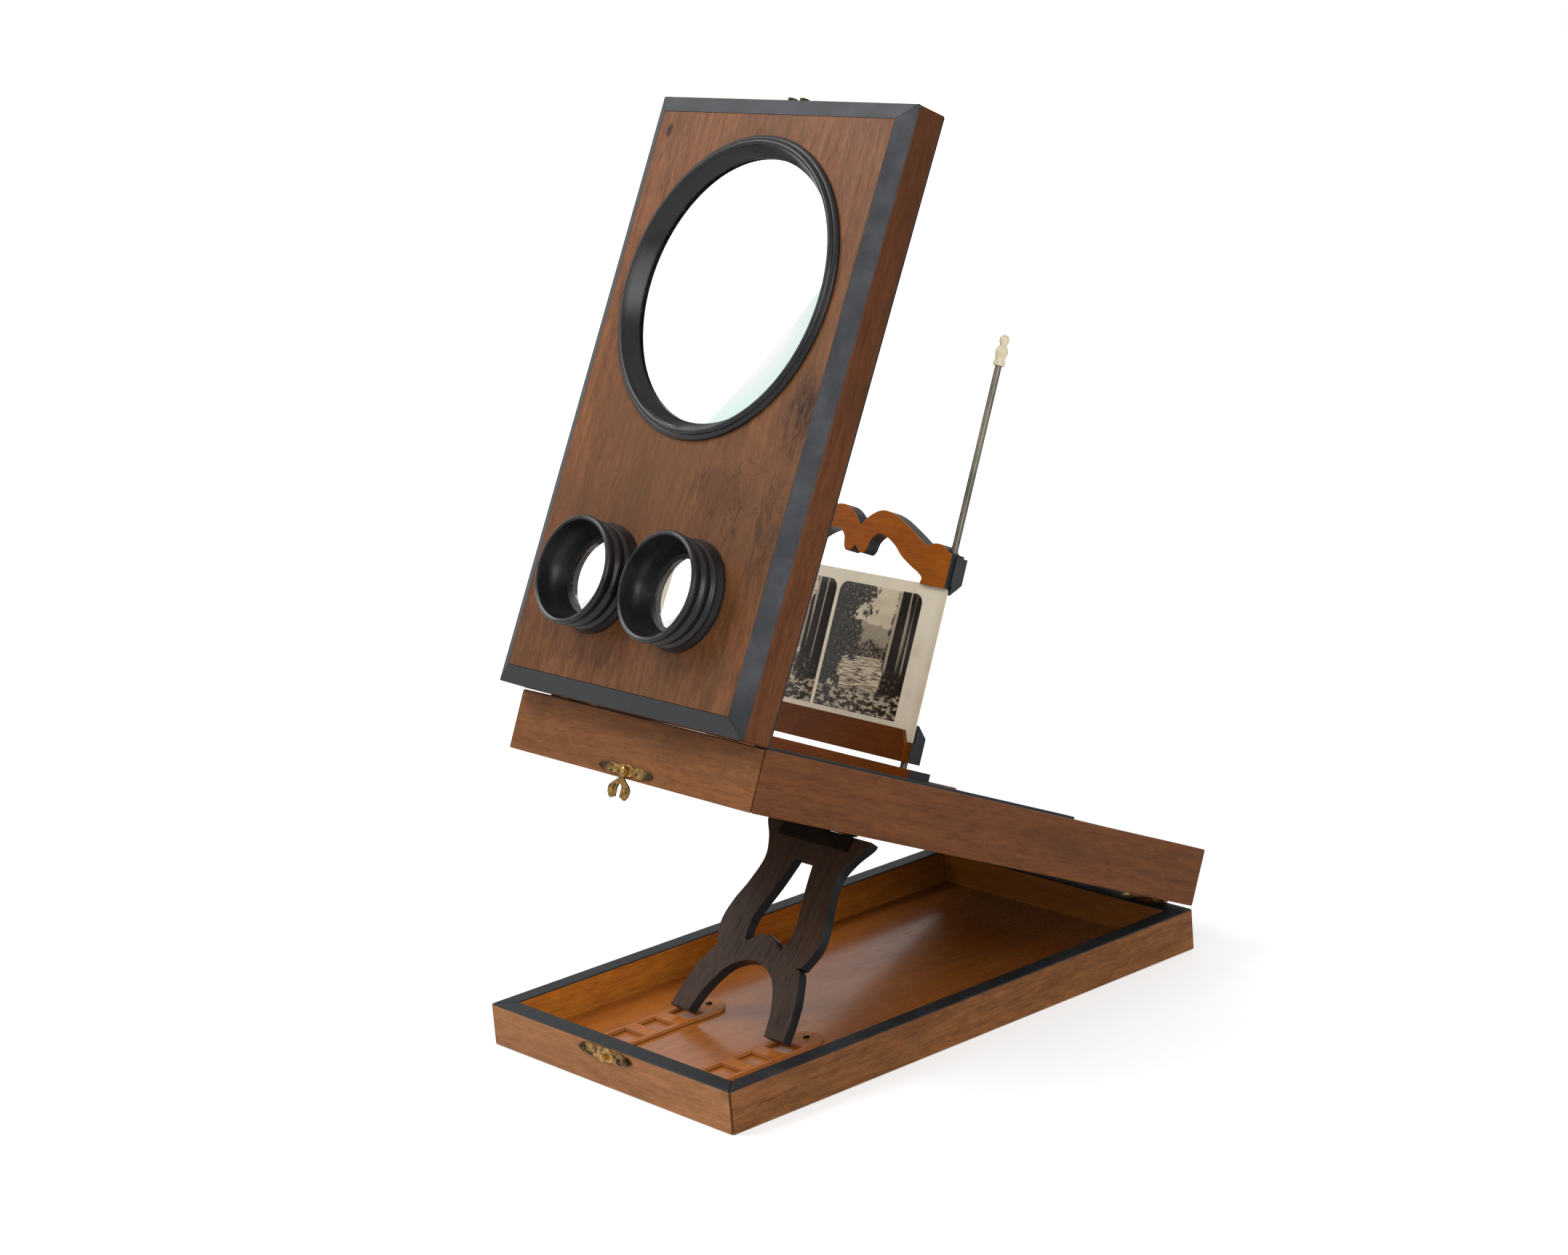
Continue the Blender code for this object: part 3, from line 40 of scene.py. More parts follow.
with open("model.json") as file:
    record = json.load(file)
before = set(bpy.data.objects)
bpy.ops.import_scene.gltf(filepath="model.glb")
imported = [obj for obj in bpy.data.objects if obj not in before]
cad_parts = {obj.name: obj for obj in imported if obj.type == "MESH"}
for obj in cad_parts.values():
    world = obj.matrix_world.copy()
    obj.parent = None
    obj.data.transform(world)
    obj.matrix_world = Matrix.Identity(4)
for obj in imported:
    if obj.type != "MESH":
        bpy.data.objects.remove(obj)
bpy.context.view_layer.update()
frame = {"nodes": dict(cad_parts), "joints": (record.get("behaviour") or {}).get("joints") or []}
NODES = frame["nodes"]

# Where the photograph's viewer stands: the camera's place and its own three axes
CAMERA_PLACE = (1.438466, -1.211005, 0.699071)
CAMERA_RIGHT = (0.648942, 0.756565, -0.080528)
CAMERA_UP = (-0.135022, 0.218678, 0.966410)
CAMERA_BACK = (0.748761, -0.616271, 0.244062)
CAMERA_LENS = 77.767
SENSOR_WIDTH = 36.0

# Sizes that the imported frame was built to
HALF_WIDTH = 0.108
HALF_LENGTH = 0.180
WALL = 0.0115
BASE_TOP = 0.025
TRAY_RIM = 0.03485
PANEL_LEAN = math.radians(2.9)
STRUT_LEAN = math.radians(49.3286)
PANEL_FACE = -0.0225
PANEL_BACK = -0.0022
PANEL_FOOT = -0.0018
FIELD_RISE = 0.005
BOARD_BACK = 0.005
LENS_HEIGHT = 0.239
EYE_HEIGHT = 0.068
EYE_OFFSET = 0.0373
PIVOT_RISE = 0.0049
ROD_OFFSET = 0.0745
CARD_MIDDLE = -0.0085
CARD_FACE = -0.0036
GAP = 0.0003
WELD = 0.000002
WAX_SHINE = 0.2
WHITE = (1.0, 1.0, 1.0)
SIDES = (("left", -1), ("right", 1))
# How many steps go round each turned shape
RING_STEPS = 144
EYE_STEPS = 96
LENS_STEPS = 128
FINIAL_STEPS = 48
BORE_STEPS = 32


def joint_place(name):
    return Vector(next(joint["pos_m"] for joint in frame["joints"] if joint["name"] == name))


def tray_tilt():
    axis = next(j["axis"] for j in frame["joints"] if j["name"] == "carriage_slide")
    return math.atan2(axis[2], -axis[1])


# Each body's own origin, and its turn about X
TRAY_TILT = tray_tilt()
FRAMES = {
    "base": (Vector((0, 0, 0)), 0.0),
    "tray": (joint_place("tray_hinge"), -TRAY_TILT),
    "strut": (joint_place("strut_hinge"), STRUT_LEAN),
    "lens_panel": (joint_place("lens_panel_hinge"), -TRAY_TILT - PANEL_LEAN),
    "holder": (joint_place("holder_fold"), -TRAY_TILT),
    "hook": (joint_place("hook_swing"), -TRAY_TILT),
}


def body_matrix(body):
    place, turn = FRAMES[body]
    return Matrix.Translation(place) @ Matrix.Rotation(turn, 4, "X")


def size(name, description, default):
    return FloatProperty(
        name=name, description=description, default=default, min=0.0, precision=5, unit="LENGTH"
    )


def share(name, description, default):
    return FloatProperty(
        name=name, description=description, default=default, min=0.0, max=1.0, subtype="FACTOR"
    )


def tint(name, description, default):
    return FloatVectorProperty(
        name=name, description=description, default=default, min=0.0, max=1.0, size=3,
        subtype="COLOR",
    )


class GraphoscopeWoods(PropertyGroup):
    """Colours and gloss of the wooden pieces."""

    field_dark: tint("Lens board, dark", "Dark grain of the lens board", (0.112, 0.042, 0.017))
    field_brown: tint("Lens board, brown", "Faded patches of the lens board", (0.150, 0.068, 0.025))
    field_light: tint("Lens board, light", "Light grain of the lens board", (0.30, 0.114, 0.042))
    side_dark: tint("Panel side, dark", "Dark grain of the panel's sides", (0.080, 0.023, 0.0055))
    side_light: tint("Panel side, light", "Light grain of the panel's sides", (0.17, 0.055, 0.014))
    # The tray front's colours are darkened as painted shade, for how light falls on the tray's
    # front
    front_dark: tint("Tray front, dark", "Dark grain of the tray's front", (0.14, 0.051, 0.015))
    front_light: tint("Tray front, light", "Light grain of the tray's front", (0.29, 0.112, 0.036))
    flank_dark: tint("Tray side, dark", "Dark grain of the tray's sides", (0.098, 0.032, 0.009))
    flank_light: tint("Tray side, light", "Light grain of the tray's sides", (0.20, 0.066, 0.018))
    # The base front's and rear's colours are lightened as painted light, for how light falls on the
    # base's front
    base_dark: tint("Base, dark", "Dark grain of the base's front", (0.25, 0.100, 0.032))
    base_light: tint("Base, light", "Light grain of the base's front", (0.46, 0.198, 0.070))
    base_side: tint("Base side, light", "Light grain of the base's sides", (0.33, 0.130, 0.038))
    inner_dark: tint("Base lining, dark", "Dark grain inside the base", (0.36, 0.120, 0.015))
    inner_light: tint("Base lining, light", "Light grain inside the base", (0.70, 0.250, 0.032))
    floor_dark: tint("Floor, dark", "Dark grain of the varnished floor", (0.34, 0.100, 0.016))
    floor_light: tint("Floor, light", "Light grain of the varnished floor", (0.52, 0.170, 0.030))
    cut_face: tint("Rack cut faces", "Bare wood inside the racks' notches", (0.50, 0.27, 0.095))
    rail_dark: tint("Rails, dark", "Dark grain of the rails", (0.28, 0.068, 0.005))
    rail_light: tint("Rails, light", "Light grain of the rails", (0.46, 0.128, 0.009))
    strut_dark: tint("Strut, dark", "Dark grain of the strut", (0.024, 0.012, 0.006))
    strut_light: tint("Strut, light", "Light grain of the strut", (0.070, 0.034, 0.018))
    ebony: tint("Ebonised wood", "Black polish of rims and rail ends", (0.017, 0.019, 0.021))
    border: tint("Border black", "Slate black of the lens panel's border", (0.042, 0.043, 0.049))
    turned: tint("Turned black", "Deep black of the ring and eyepieces", (0.009, 0.009, 0.010))
    ebony_worn: tint("Worn ebony", "Where black polish is rubbed away", (0.11, 0.095, 0.082))
    # A pale line painted as a highlight along the turned lips
    rubbed: tint("Lip highlight", "Pale line along a turned lip", (0.30, 0.275, 0.25))
    wear: share("Edge wear", "How strongly the edges show wear", 0.45)


class GraphoscopeTrim(PropertyGroup):
    """Colours of the metal, bone, glass and card."""

    brass: tint("Brass", "Rubbed brass of hook, plates and hinges", (0.72, 0.43, 0.135))
    grime: tint("Brass grime", "Dark tarnish on the brass", (0.034, 0.024, 0.015))
    rod: tint("Rods", "Dull olive brass of the rods", (0.23, 0.21, 0.16))
    bone: tint("Bone", "Polished bone of the finials", (0.80, 0.72, 0.52))
    bone_grain: tint("Bone grain", "Darker streaks in the bone", (0.58, 0.46, 0.27))
    glass: tint("Glass", "Lens glass", (0.985, 0.995, 0.99))
    # The large lens's green rim is partly the glass's own edge colour, partly a painted reflection
    # kept low at its right
    glass_rim: tint("Glass rim", "Green tint low at the large lens's rim", (0.78, 0.97, 0.93))
    card: tint("Card", "Mount of the stereo card", (0.92, 0.84, 0.66))
    card_soil: tint("Card soiling", "Handled edges of the stereo card", (0.66, 0.55, 0.38))
    print_dark: tint("Print, dark", "Deepest tone of the two prints", (0.012, 0.008, 0.005))
    print_light: tint("Print, light", "Lightest tone of the two prints", (0.84, 0.72, 0.52))


class GraphoscopeSizes(PropertyGroup):
    """Sizes of the finer pieces."""

    ring_radius: size("Ring radius", "Outer radius of the lens ring", 0.0875)
    ring_rise: size("Ring rise", "Height of the lens ring above its board", 0.0042)
    ring_spigot: size("Ring spigot", "Radius of the ring's part inside the board", 0.0817)
    lens_opening: size("Lens opening", "Radius of the ring's opening", 0.0762)
    retainer_front: size("Retainer front", "Depth of the retaining ring's front", 0.0038)
    retainer_back: size("Retainer back", "Depth of the retaining ring's back", 0.0059)
    retainer_chamfer: size("Retainer chamfer", "Slope inside the retaining ring", 0.0012)
    lens_radius: size("Lens radius", "Radius of the large lens", 0.0785)
    lens_edge: size("Lens edge", "Thickness of the large lens at its edge", 0.0023)
    lens_curve: size("Lens curve", "Radius of each face of the large lens", 0.420)
    eye_radius: size("Eyepiece radius", "Outer radius of an eyepiece", 0.0312)
    eye_rise: size("Eyepiece rise", "Height of an eyepiece above the board", 0.0223)
    eye_opening: size("Eyepiece opening", "Radius of an eyepiece's throat", 0.0195)
    eye_depth: size("Eyepiece depth", "Depth of an eyepiece's mouth", 0.0175)
    eye_spigot: size("Eyepiece spigot", "Radius of an eyepiece inside the board", 0.0247)
    eye_lens_radius: size("Eye lens radius", "Radius of an eye lens", 0.0223)
    eye_lens_edge: size("Eye lens edge", "Thickness of an eye lens at its edge", 0.0018)
    eye_lens_curve: size("Eye lens curve", "Radius of each face of an eye lens", 0.090)
    finial_radius: size("Finial radius", "Greatest radius of a finial", 0.0037)
    finial_tall: size("Finial height", "Height of a finial", 0.018)
    finial_foot: size("Finial foot", "Height of a finial's foot above the tray's rim", 0.238)
    strut_half: size("Strut half width", "Half of the strut's width", 0.0508)
    strut_reach: size("Strut reach", "Length of the strut below its hinge", 0.1248994)
    strut_thick: size("Strut thickness", "Thickness of the strut", 0.0065)
    fret_half: size("Fret half length", "Half of the fretwork's length", 0.0805)
    fret_front: size("Fret front", "From the rods' middle to the fretwork's face", 0.0065)
    fret_back: size("Fret back", "From the rods' middle to the fretwork's back", 0.0030)
    rod_bore: size("Rod bore", "Radius of the bores that slide on the rods", 0.0022)
    print_wide: size("Print width", "Width of one print", 0.0695)
    print_tall: size("Print height", "Height of one print", 0.073)
    print_corner: size("Print corner", "Radius of a print's two upper corners", 0.006)
    print_foot: size("Print foot", "Height of the prints above the rods' pivot", 0.0256)
    divider: size("Divider", "Bare card between the prints", 0.003)
    softened: size("Softened edge", "Rounding of the strut's and rail's edges", 0.00035)


class GraphoscopeStage(PropertyGroup):
    """Floor, light and background."""

    floor_tone: tint("Floor", "Colour of the studio floor", (0.80, 0.80, 0.80))
    lift: share("Background lift", "White that the viewer sees on the floor itself", 0.44)
    ambient: share("Ambient light", "Strength of the soft light from all round", 0.55)
    key_power: FloatProperty(
        name="Key lamp", description="Power of the large lamp at the left", default=40.0, min=0.0,
        unit="POWER",
    )
    fill_power: FloatProperty(
        name="Fill lamp", description="Power of the lamp at the right", default=20.0, min=0.0,
        unit="POWER",
    )
    floor_half: size("Floor half size", "Half of the floor's width", 4.0)
    shadow_reach: size("Shadow reach", "How far the shadow spreads on the floor", 0.45)


class Value:
    """A number that nodes work out at each spot of a surface. Sums with it add nodes."""

    def __init__(self, nodes, socket):
        self.nodes = nodes
        self.socket = socket

    def __add__(self, other):
        return self.nodes.math("ADD", self, other)

    def __sub__(self, other):
        return self.nodes.math("SUBTRACT", self, other)

    def __rsub__(self, other):
        return self.nodes.math("SUBTRACT", other, self)

    def __mul__(self, other):
        return self.nodes.math("MULTIPLY", self, other)

    def __truediv__(self, other):
        return self.nodes.math("DIVIDE", self, other)

    def __pow__(self, other):
        return self.nodes.math("POWER", self, other)

    def __abs__(self):
        return self.nodes.math("ABSOLUTE", self)

    def larger(self, other):
        return self.nodes.math("MAXIMUM", self, other)

    def rise(self, low, high, start=0.0, end=1.0, course="SMOOTHSTEP"):
        """From start to end while this value goes from low to high."""
        node = self.nodes.add("ShaderNodeMapRange", interpolation_type=course)
        for socket, number in zip(node.inputs, (self, low, high, start, end)):
            self.nodes.feed(socket, number)
        return Value(self.nodes, node.outputs[0])

    def between(self, low, high, soft):
        """1 where this value lies between two limits."""
        return self.rise(low - soft, low) * self.rise(high + soft, high)


class Nodes:
    """Adds nodes to a tree and links them."""

    def __init__(self, tree):
        self.tree = tree

    def add(self, kind, **settings):
        node = self.tree.nodes.new(kind)
        for key, value in settings.items():
            setattr(node, key, value)
        return node

    def feed(self, socket, value):
        if isinstance(value, Value):
            value = value.socket
        if isinstance(value, bpy.types.NodeSocket):
            self.tree.links.new(value, socket)
        elif socket.type == "RGBA":
            socket.default_value = (*value[:3], 1.0)
        else:
            socket.default_value = value

    def math(self, operation, *values, clamp=False):
        node = self.add("ShaderNodeMath", operation=operation, use_clamp=clamp)
        for socket, value in zip(node.inputs, values):
            self.feed(socket, value)
        return Value(self, node.outputs[0])

    def seen_rays(self):
        """1 for what the viewer sees directly or through glass."""
        path = self.add("ShaderNodeLightPath")
        seen = (path.outputs["Is Camera Ray"], path.outputs["Is Transmission Ray"])
        return self.math("MAXIMUM", *seen)


class Finish(Nodes):
    """A procedural finish in its body's own frame. done() ends a layer in the shader.

    A layer is a colour, a roughness and a height.
    """

    def __init__(self, name, body):
        self.material = bpy.data.materials.new(name)
        self.material.use_nodes = True
        super().__init__(self.material.node_tree)
        self.shader = self.tree.nodes["Principled BSDF"]
        place, turn = FRAMES[body]
        coords = self.add("ShaderNodeTexCoord")
        self.local = self.mapped(coords.outputs["Object"], "TEXTURE", place, turn)
        self.x, self.y, self.z = self.split(self.local)
        self.facing = self.split(self.mapped(coords.outputs["Normal"], "VECTOR", (0, 0, 0), -turn))

    def mapped(self, vector, kind, place, turn):
        node = self.add("ShaderNodeMapping", vector_type=kind)
        self.feed(node.inputs["Vector"], vector)
        if kind == "TEXTURE":
            node.inputs["Location"].default_value = place
        node.inputs["Rotation"].default_value = (turn, 0, 0)
        return node.outputs["Vector"]

    def split(self, vector):
        node = self.add("ShaderNodeSeparateXYZ")
        self.feed(node.inputs[0], vector)
        return tuple(Value(self, socket) for socket in node.outputs)

    def stretched(self, amounts, shift=(0.0, 0.0, 0.0)):
        node = self.add("ShaderNodeVectorMath", operation="MULTIPLY_ADD")
        for socket, vector in zip(node.inputs, (self.local, amounts, shift)):
            self.feed(socket, vector)
        return node.outputs[0]

    def noise(self, scale, detail=3.0, roughness=0.55, distortion=0.0, vector=None):
        node = self.add("ShaderNodeTexNoise")
        self.feed(node.inputs["Vector"], self.local if vector is None else vector)
        self.feed(node.inputs["Scale"], scale)
        self.feed(node.inputs["Detail"], detail)
        self.feed(node.inputs["Roughness"], roughness)
        self.feed(node.inputs["Distortion"], distortion)
        return Value(self, node.outputs[0])

    def mix(self, amount, first, second):
        node = self.add("ShaderNodeMix", data_type="RGBA")
        self.feed(node.inputs[0], amount)
        self.feed(node.inputs[6], first)
        self.feed(node.inputs[7], second)
        return node.outputs[2]

    def lerp(self, amount, first, second):
        node = self.add("ShaderNodeMix", data_type="FLOAT")
        self.feed(node.inputs[0], amount)
        self.feed(node.inputs[2], first)
        self.feed(node.inputs[3], second)
        return Value(self, node.outputs[0])

    def over(self, mask, under, top):
        """One layer over another where the mask is 1."""
        return (
            self.mix(mask, under[0], top[0]),
            self.lerp(mask, under[1], top[1]),
            self.lerp(mask, under[2], top[2]),
        )

    def tinted(self, layer, amount, colour):
        """A layer whose colour goes towards another."""
        return (self.mix(amount, layer[0], colour), *layer[1:])

    def edges(self, radius):
        """1 along the piece's edges and corners."""
        bevel = self.add("ShaderNodeBevel", samples=6)
        bevel.inputs["Radius"].default_value = radius
        geometry = self.add("ShaderNodeNewGeometry")
        node = self.add("ShaderNodeVectorMath", operation="DOT_PRODUCT")
        self.feed(node.inputs[0], bevel.outputs["Normal"])
        self.feed(node.inputs[1], geometry.outputs["Normal"])
        return Value(self, node.outputs["Value"]).rise(0.995, 0.90)

    def done(self, layer, depth=0.00006, strength=0.5, **plain):
        """Ends a layer in the shader. Plain numbers go straight onto the shader's own sockets."""
        self.feed(self.shader.inputs["Base Color"], layer[0])
        self.feed(self.shader.inputs["Roughness"], layer[1])
        bump = self.add("ShaderNodeBump")
        bump.inputs["Strength"].default_value = strength
        bump.inputs["Distance"].default_value = depth
        self.feed(bump.inputs["Height"], layer[2])
        self.feed(self.shader.inputs["Normal"], bump.outputs["Normal"])
        for name, value in plain.items():
            self.shader.inputs[name.replace("_", " ")].default_value = value
        return self.material


def toned(colour, amount):
    """A colour made darker or lighter."""
    return tuple(min(1.0, value * amount) for value in colour)


def waxed(finish, layer, depth=0.00006, strength=0.5, **plain):
    """Ends wood in the thin shine of old wax."""
    return finish.done(layer, depth, strength, Specular_IOR_Level=WAX_SHINE, **plain)


# How far the grain and the mottling are drawn out along the wood
GRAIN_STRETCH = 0.07
MOTTLE_STRETCH = 0.35


def wood_layer(finish, grain, dark, light, gloss=0.34, stain=0.3, pores=0.25, wear=0.4, seed=0.0):
    """Polished wood whose grain runs along one axis of the finish's own frame."""
    amounts = [1.0, 1.0, 1.0]
    amounts[grain] = GRAIN_STRETCH
    lie = finish.stretched(amounts, (seed, seed * 0.7, seed * 1.3))
    broad = finish.noise(38.0, 3.0, 0.5, 0.8, lie)
    lines = finish.noise(300.0, 5.0, 0.68, 0.4, lie)
    fibres = finish.noise(1300.0, 3.0, 0.65, vector=lie)
    pore = finish.noise(900.0, 1.0, 0.5, vector=lie).rise(0.60, 0.66)
    amounts[grain] = MOTTLE_STRETCH
    mottle = finish.noise(210.0, 5.0, 0.7, 0.5, finish.stretched(amounts, (seed, 0.1, 0.4)))
    tone = broad * 0.18 + fibres * 0.25 + lines * 0.32 + mottle * 0.25
    colour = finish.mix(tone.rise(0.35, 0.65), dark, light)
    fleck = finish.noise(420.0, 3.0, 0.6, vector=finish.stretched(amounts, (0.9, seed, 0.2)))
    ruddy = (light[0] * 1.15, light[1] * 0.88, light[2] * 0.6)
    colour = finish.mix(fleck.rise(0.58, 0.70) * 0.55, colour, ruddy)
    colour = finish.mix(pore * pores, colour, toned(dark, 0.35))
    blotch = finish.noise(34.0, 6.0, 0.68, vector=finish.stretched(amounts, (seed, 0.3, 0.1)))
    blotch = blotch.rise(0.46, 0.72)
    colour = finish.mix(blotch * stain, colour, toned(dark, 0.55))
    rubbed = finish.noise(95.0, 4.0, 0.65).rise(0.38, 0.62) * finish.edges(0.0011)
    colour = finish.mix(rubbed * wear, colour, toned(light, 1.5))
    rough = blotch * 0.10 + pore * 0.15 + rubbed * 0.15 + gloss
    height = lines * 0.5 + fibres * 0.35 - pore * 0.6
    return colour, rough, height


def ebony_layer(finish, woods, gloss, grain=0, wear=None, black=None):
    """Black polish over wood, rubbed grey-brown along the edges."""
    black = woods.ebony if black is None else black
    wear = woods.wear if wear is None else wear
    amounts = [1.0, 1.0, 1.0]
    amounts[grain] = GRAIN_STRETCH * 2
    fibres = finish.noise(900.0, 3.0, 0.6, vector=finish.stretched(amounts, (0.2, 0.5, 0.9)))
    haze = finish.noise(45.0, 4.0, 0.6).rise(0.35, 0.75)
    specks = finish.noise(520.0, 2.0, 0.5).rise(0.70, 0.78)
    rubbed = finish.noise(130.0, 5.0, 0.7).rise(0.44, 0.66) * finish.edges(0.0009)
    colour = finish.mix(haze, black, toned(black, 1.7))
    colour = finish.mix(specks * 0.25 + rubbed * wear, colour, woods.ebony_worn)
    return colour, haze * 0.14 + rubbed * 0.2 + gloss, fibres - specks * 0.5


def brass_layer(finish, brass, grime, scale=1.0):
    """Old lacquered brass with tarnish in its hollows."""
    cloud = finish.noise(240.0 * scale, 5.0, 0.65).rise(0.40, 0.66)
    pits = finish.noise(1500.0 * scale, 3.0, 0.6).rise(0.52, 0.70)
    colour = finish.mix(cloud, brass, grime)
    colour = finish.mix(pits * 0.5, colour, toned(grime, 0.5))
    colour = finish.mix(finish.edges(0.0005) * 0.5, colour, toned(brass, 1.5))
    return colour, cloud * 0.30 + 0.24, pits * -0.6 - cloud * 0.4


def dress(finish, *names):
    """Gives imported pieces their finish."""
    for name in names:
        NODES[name].material_slots[0].material = finish


def linked(name, data):
    """A new object in the scene."""
    made = bpy.data.objects.new(name, data)
    bpy.context.scene.collection.objects.link(made)
    return made


def new_piece(name, mesh, body, finish, smooth_angle=40):
    piece = linked(name, mesh)
    mesh.materials.clear()
    mesh.materials.append(finish)
    mesh.shade_smooth()
    mesh.set_sharp_from_angle(angle=math.radians(smooth_angle))
    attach(piece, body)
    return piece


def settled(builder, mesh, matrix):
    """Ends a builder as a welded mesh that faces outwards, put in its place."""
    bmesh.ops.remove_doubles(builder, verts=builder.verts, dist=WELD)
    bmesh.ops.recalc_face_normals(builder, faces=builder.faces)
    bmesh.ops.transform(builder, matrix=matrix, verts=builder.verts)
    builder.to_mesh(mesh)
    builder.free()
    return mesh


def turned(profile, steps, matrix):
    """A closed turned shape from its loop of radii and heights."""
    builder = bmesh.new()
    count = len(profile)
    rings = []
    for i in range(steps):
        angle = math.tau * i / steps
        across, along = math.cos(angle), math.sin(angle)
        rings.append([builder.verts.new((r * across, r * along, h)) for r, h in profile])
    for i in range(steps):
        here, beside = rings[i], rings[(i + 1) % steps]
        for k in range(count):
            after = (k + 1) % count
            if profile[k][0] > 0 or profile[after][0] > 0:
                builder.faces.new((here[k], here[after], beside[after], beside[k]))
    return settled(builder, bpy.data.meshes.new("turned"), matrix)


def smooth_path(knots, steps):
    """A flowing line through knots (across, up, is_corner), where a corner breaks the flow."""
    points = []
    for i in range(len(knots) - 1):
        before = knots[max(i - 1, 0)]
        start, end = knots[i], knots[i + 1]
        after = knots[min(i + 2, len(knots) - 1)]
        leave = [(end[k] - (start[k] if start[2] else before[k])) for k in (0, 1)]
        reach = [((end[k] if end[2] else after[k]) - start[k]) for k in (0, 1)]
        leave = [value * (1.0 if start[2] else 0.5) for value in leave]
        reach = [value * (1.0 if end[2] else 0.5) for value in reach]
        count = 1 if start[2] and end[2] else steps
        for step in range(count):
            t = step / count
            a, b = 2 * t**3 - 3 * t**2 + 1, t**3 - 2 * t**2 + t
            c, d = 3 * t**2 - 2 * t**3, t**3 - t**2
            mixed = zip(start, leave, end, reach)
            points.append(tuple(a * u + b * v + c * w + d * x for u, v, w, x in mixed))
    points.append((knots[-1][0], knots[-1][1]))
    return points


def scaled(knots, across, up, lift=0.0):
    return [(knot[0] * across, knot[1] * up + lift, knot[2]) for knot in knots]


def mirrored(half):
    """Closes a right half, drawn from the centre line to the centre line, with its left half."""
    left = [(-across, up) for across, up in reversed(half)]
    return half + [point for point in left if abs(point[0]) > WELD]


def slab(outline, thickness, matrix, softened):
    """An outline of sawn board with softened edges, centred on its own plane."""
    curve = bpy.data.curves.new("outline", "CURVE")
    curve.dimensions = "2D"
    curve.fill_mode = "BOTH"
    curve.extrude = thickness / 2 - softened
    curve.bevel_depth = softened
    curve.bevel_resolution = 2
    curve.offset = -softened
    for ring in outline:
        spline = curve.splines.new("POLY")
        spline.points.add(len(ring) - 1)
        for point, (across, up) in zip(spline.points, ring):
            point.co = (across, up, 0, 1)
        spline.use_cyclic_u = True
    drawn = linked("outline", curve)
    graph = bpy.context.evaluated_depsgraph_get()
    mesh = bpy.data.meshes.new_from_object(drawn.evaluated_get(graph))
    bpy.data.objects.remove(drawn, do_unlink=True)
    builder = bmesh.new()
    builder.from_mesh(mesh)
    return settled(builder, mesh, matrix)


def basis(across, up, origin=(0, 0, 0)):
    across, up = Vector(across), Vector(up)
    turned_axes = Matrix((across, up, across.cross(up))).transposed().to_4x4()
    return Matrix.Translation(origin) @ turned_axes


def flat_shaded(piece):
    """Keeps broad faces flat beside softened edges."""
    piece.modifiers.new("flat faces", "WEIGHTED_NORMAL").keep_sharp = True
    return piece


def on_panel(x, height):
    """Stands a turned shape on the lens panel's face, its heights counting towards the viewer."""
    place = Matrix.Translation((x, PANEL_FACE, PANEL_FOOT + height))
    return body_matrix("lens_panel") @ place @ Matrix.Rotation(math.pi / 2, 4, "X")


def corner_line(finish, along, reach):
    """Dark glue line where a board meets its neighbour at a corner."""
    near = abs(along) + finish.noise(260.0, 3.0, 0.6) * 0.0008
    return near.rise(reach - 0.0009, reach - 0.0005, 0.0, 0.65)


class GRAPHOSCOPE_OT_base(Operator):
    """Finishes the base box: walnut outside, orange lining, black rim"""

    bl_idname = "graphoscope.base"
    bl_label = "Base box"

    def execute(self, context):
        woods = context.scene.graphoscope_woods
        # The ends' colours carry painted light: lighter than the sides for how light falls on the
        # base's front
        ends, sides = (woods.base_dark, woods.base_light), (woods.front_dark, woods.base_side)
        linings = (woods.inner_dark, woods.inner_light)
        for grain, names, tones in ((0, ("front", "rear"), ends), (1, ("left", "right"), sides)):
            finish = Finish(f"base walnut {grain}", "base")
            x, y = finish.x, finish.y
            outside = wood_layer(finish, grain, *tones, 0.36, 0.30, 0.22, woods.wear, 1.7)
            seam = corner_line(finish, *((x, HALF_WIDTH), (y, HALF_LENGTH))[grain])
            outside = finish.over(seam, outside, (toned(woods.flank_dark, 0.3), 0.6, 0.0))
            lining = wood_layer(finish, grain, *linings, 0.34, 0.35, 0.2, 0.0, 4.2)
            shaded = y.rise(0.06, 0.17, 0.0, 0.6)
            lining = finish.tinted(lining, shaded, toned(woods.inner_dark, 0.2))
            inside = (abs(x) - (HALF_WIDTH - WALL)).larger(abs(y) - (HALF_LENGTH - WALL))
            wall = finish.over(inside.rise(0.0010, 0.0003), outside, lining)
            rim = finish.z.rise(BASE_TOP - 0.0009, BASE_TOP - 0.0004)
            ring = ebony_layer(finish, woods, 0.40, grain)
            material = waxed(finish, finish.over(rim, wall, ring))
            dress(material, *(f"base_{name}_board" for name in names))
        return {"FINISHED"}


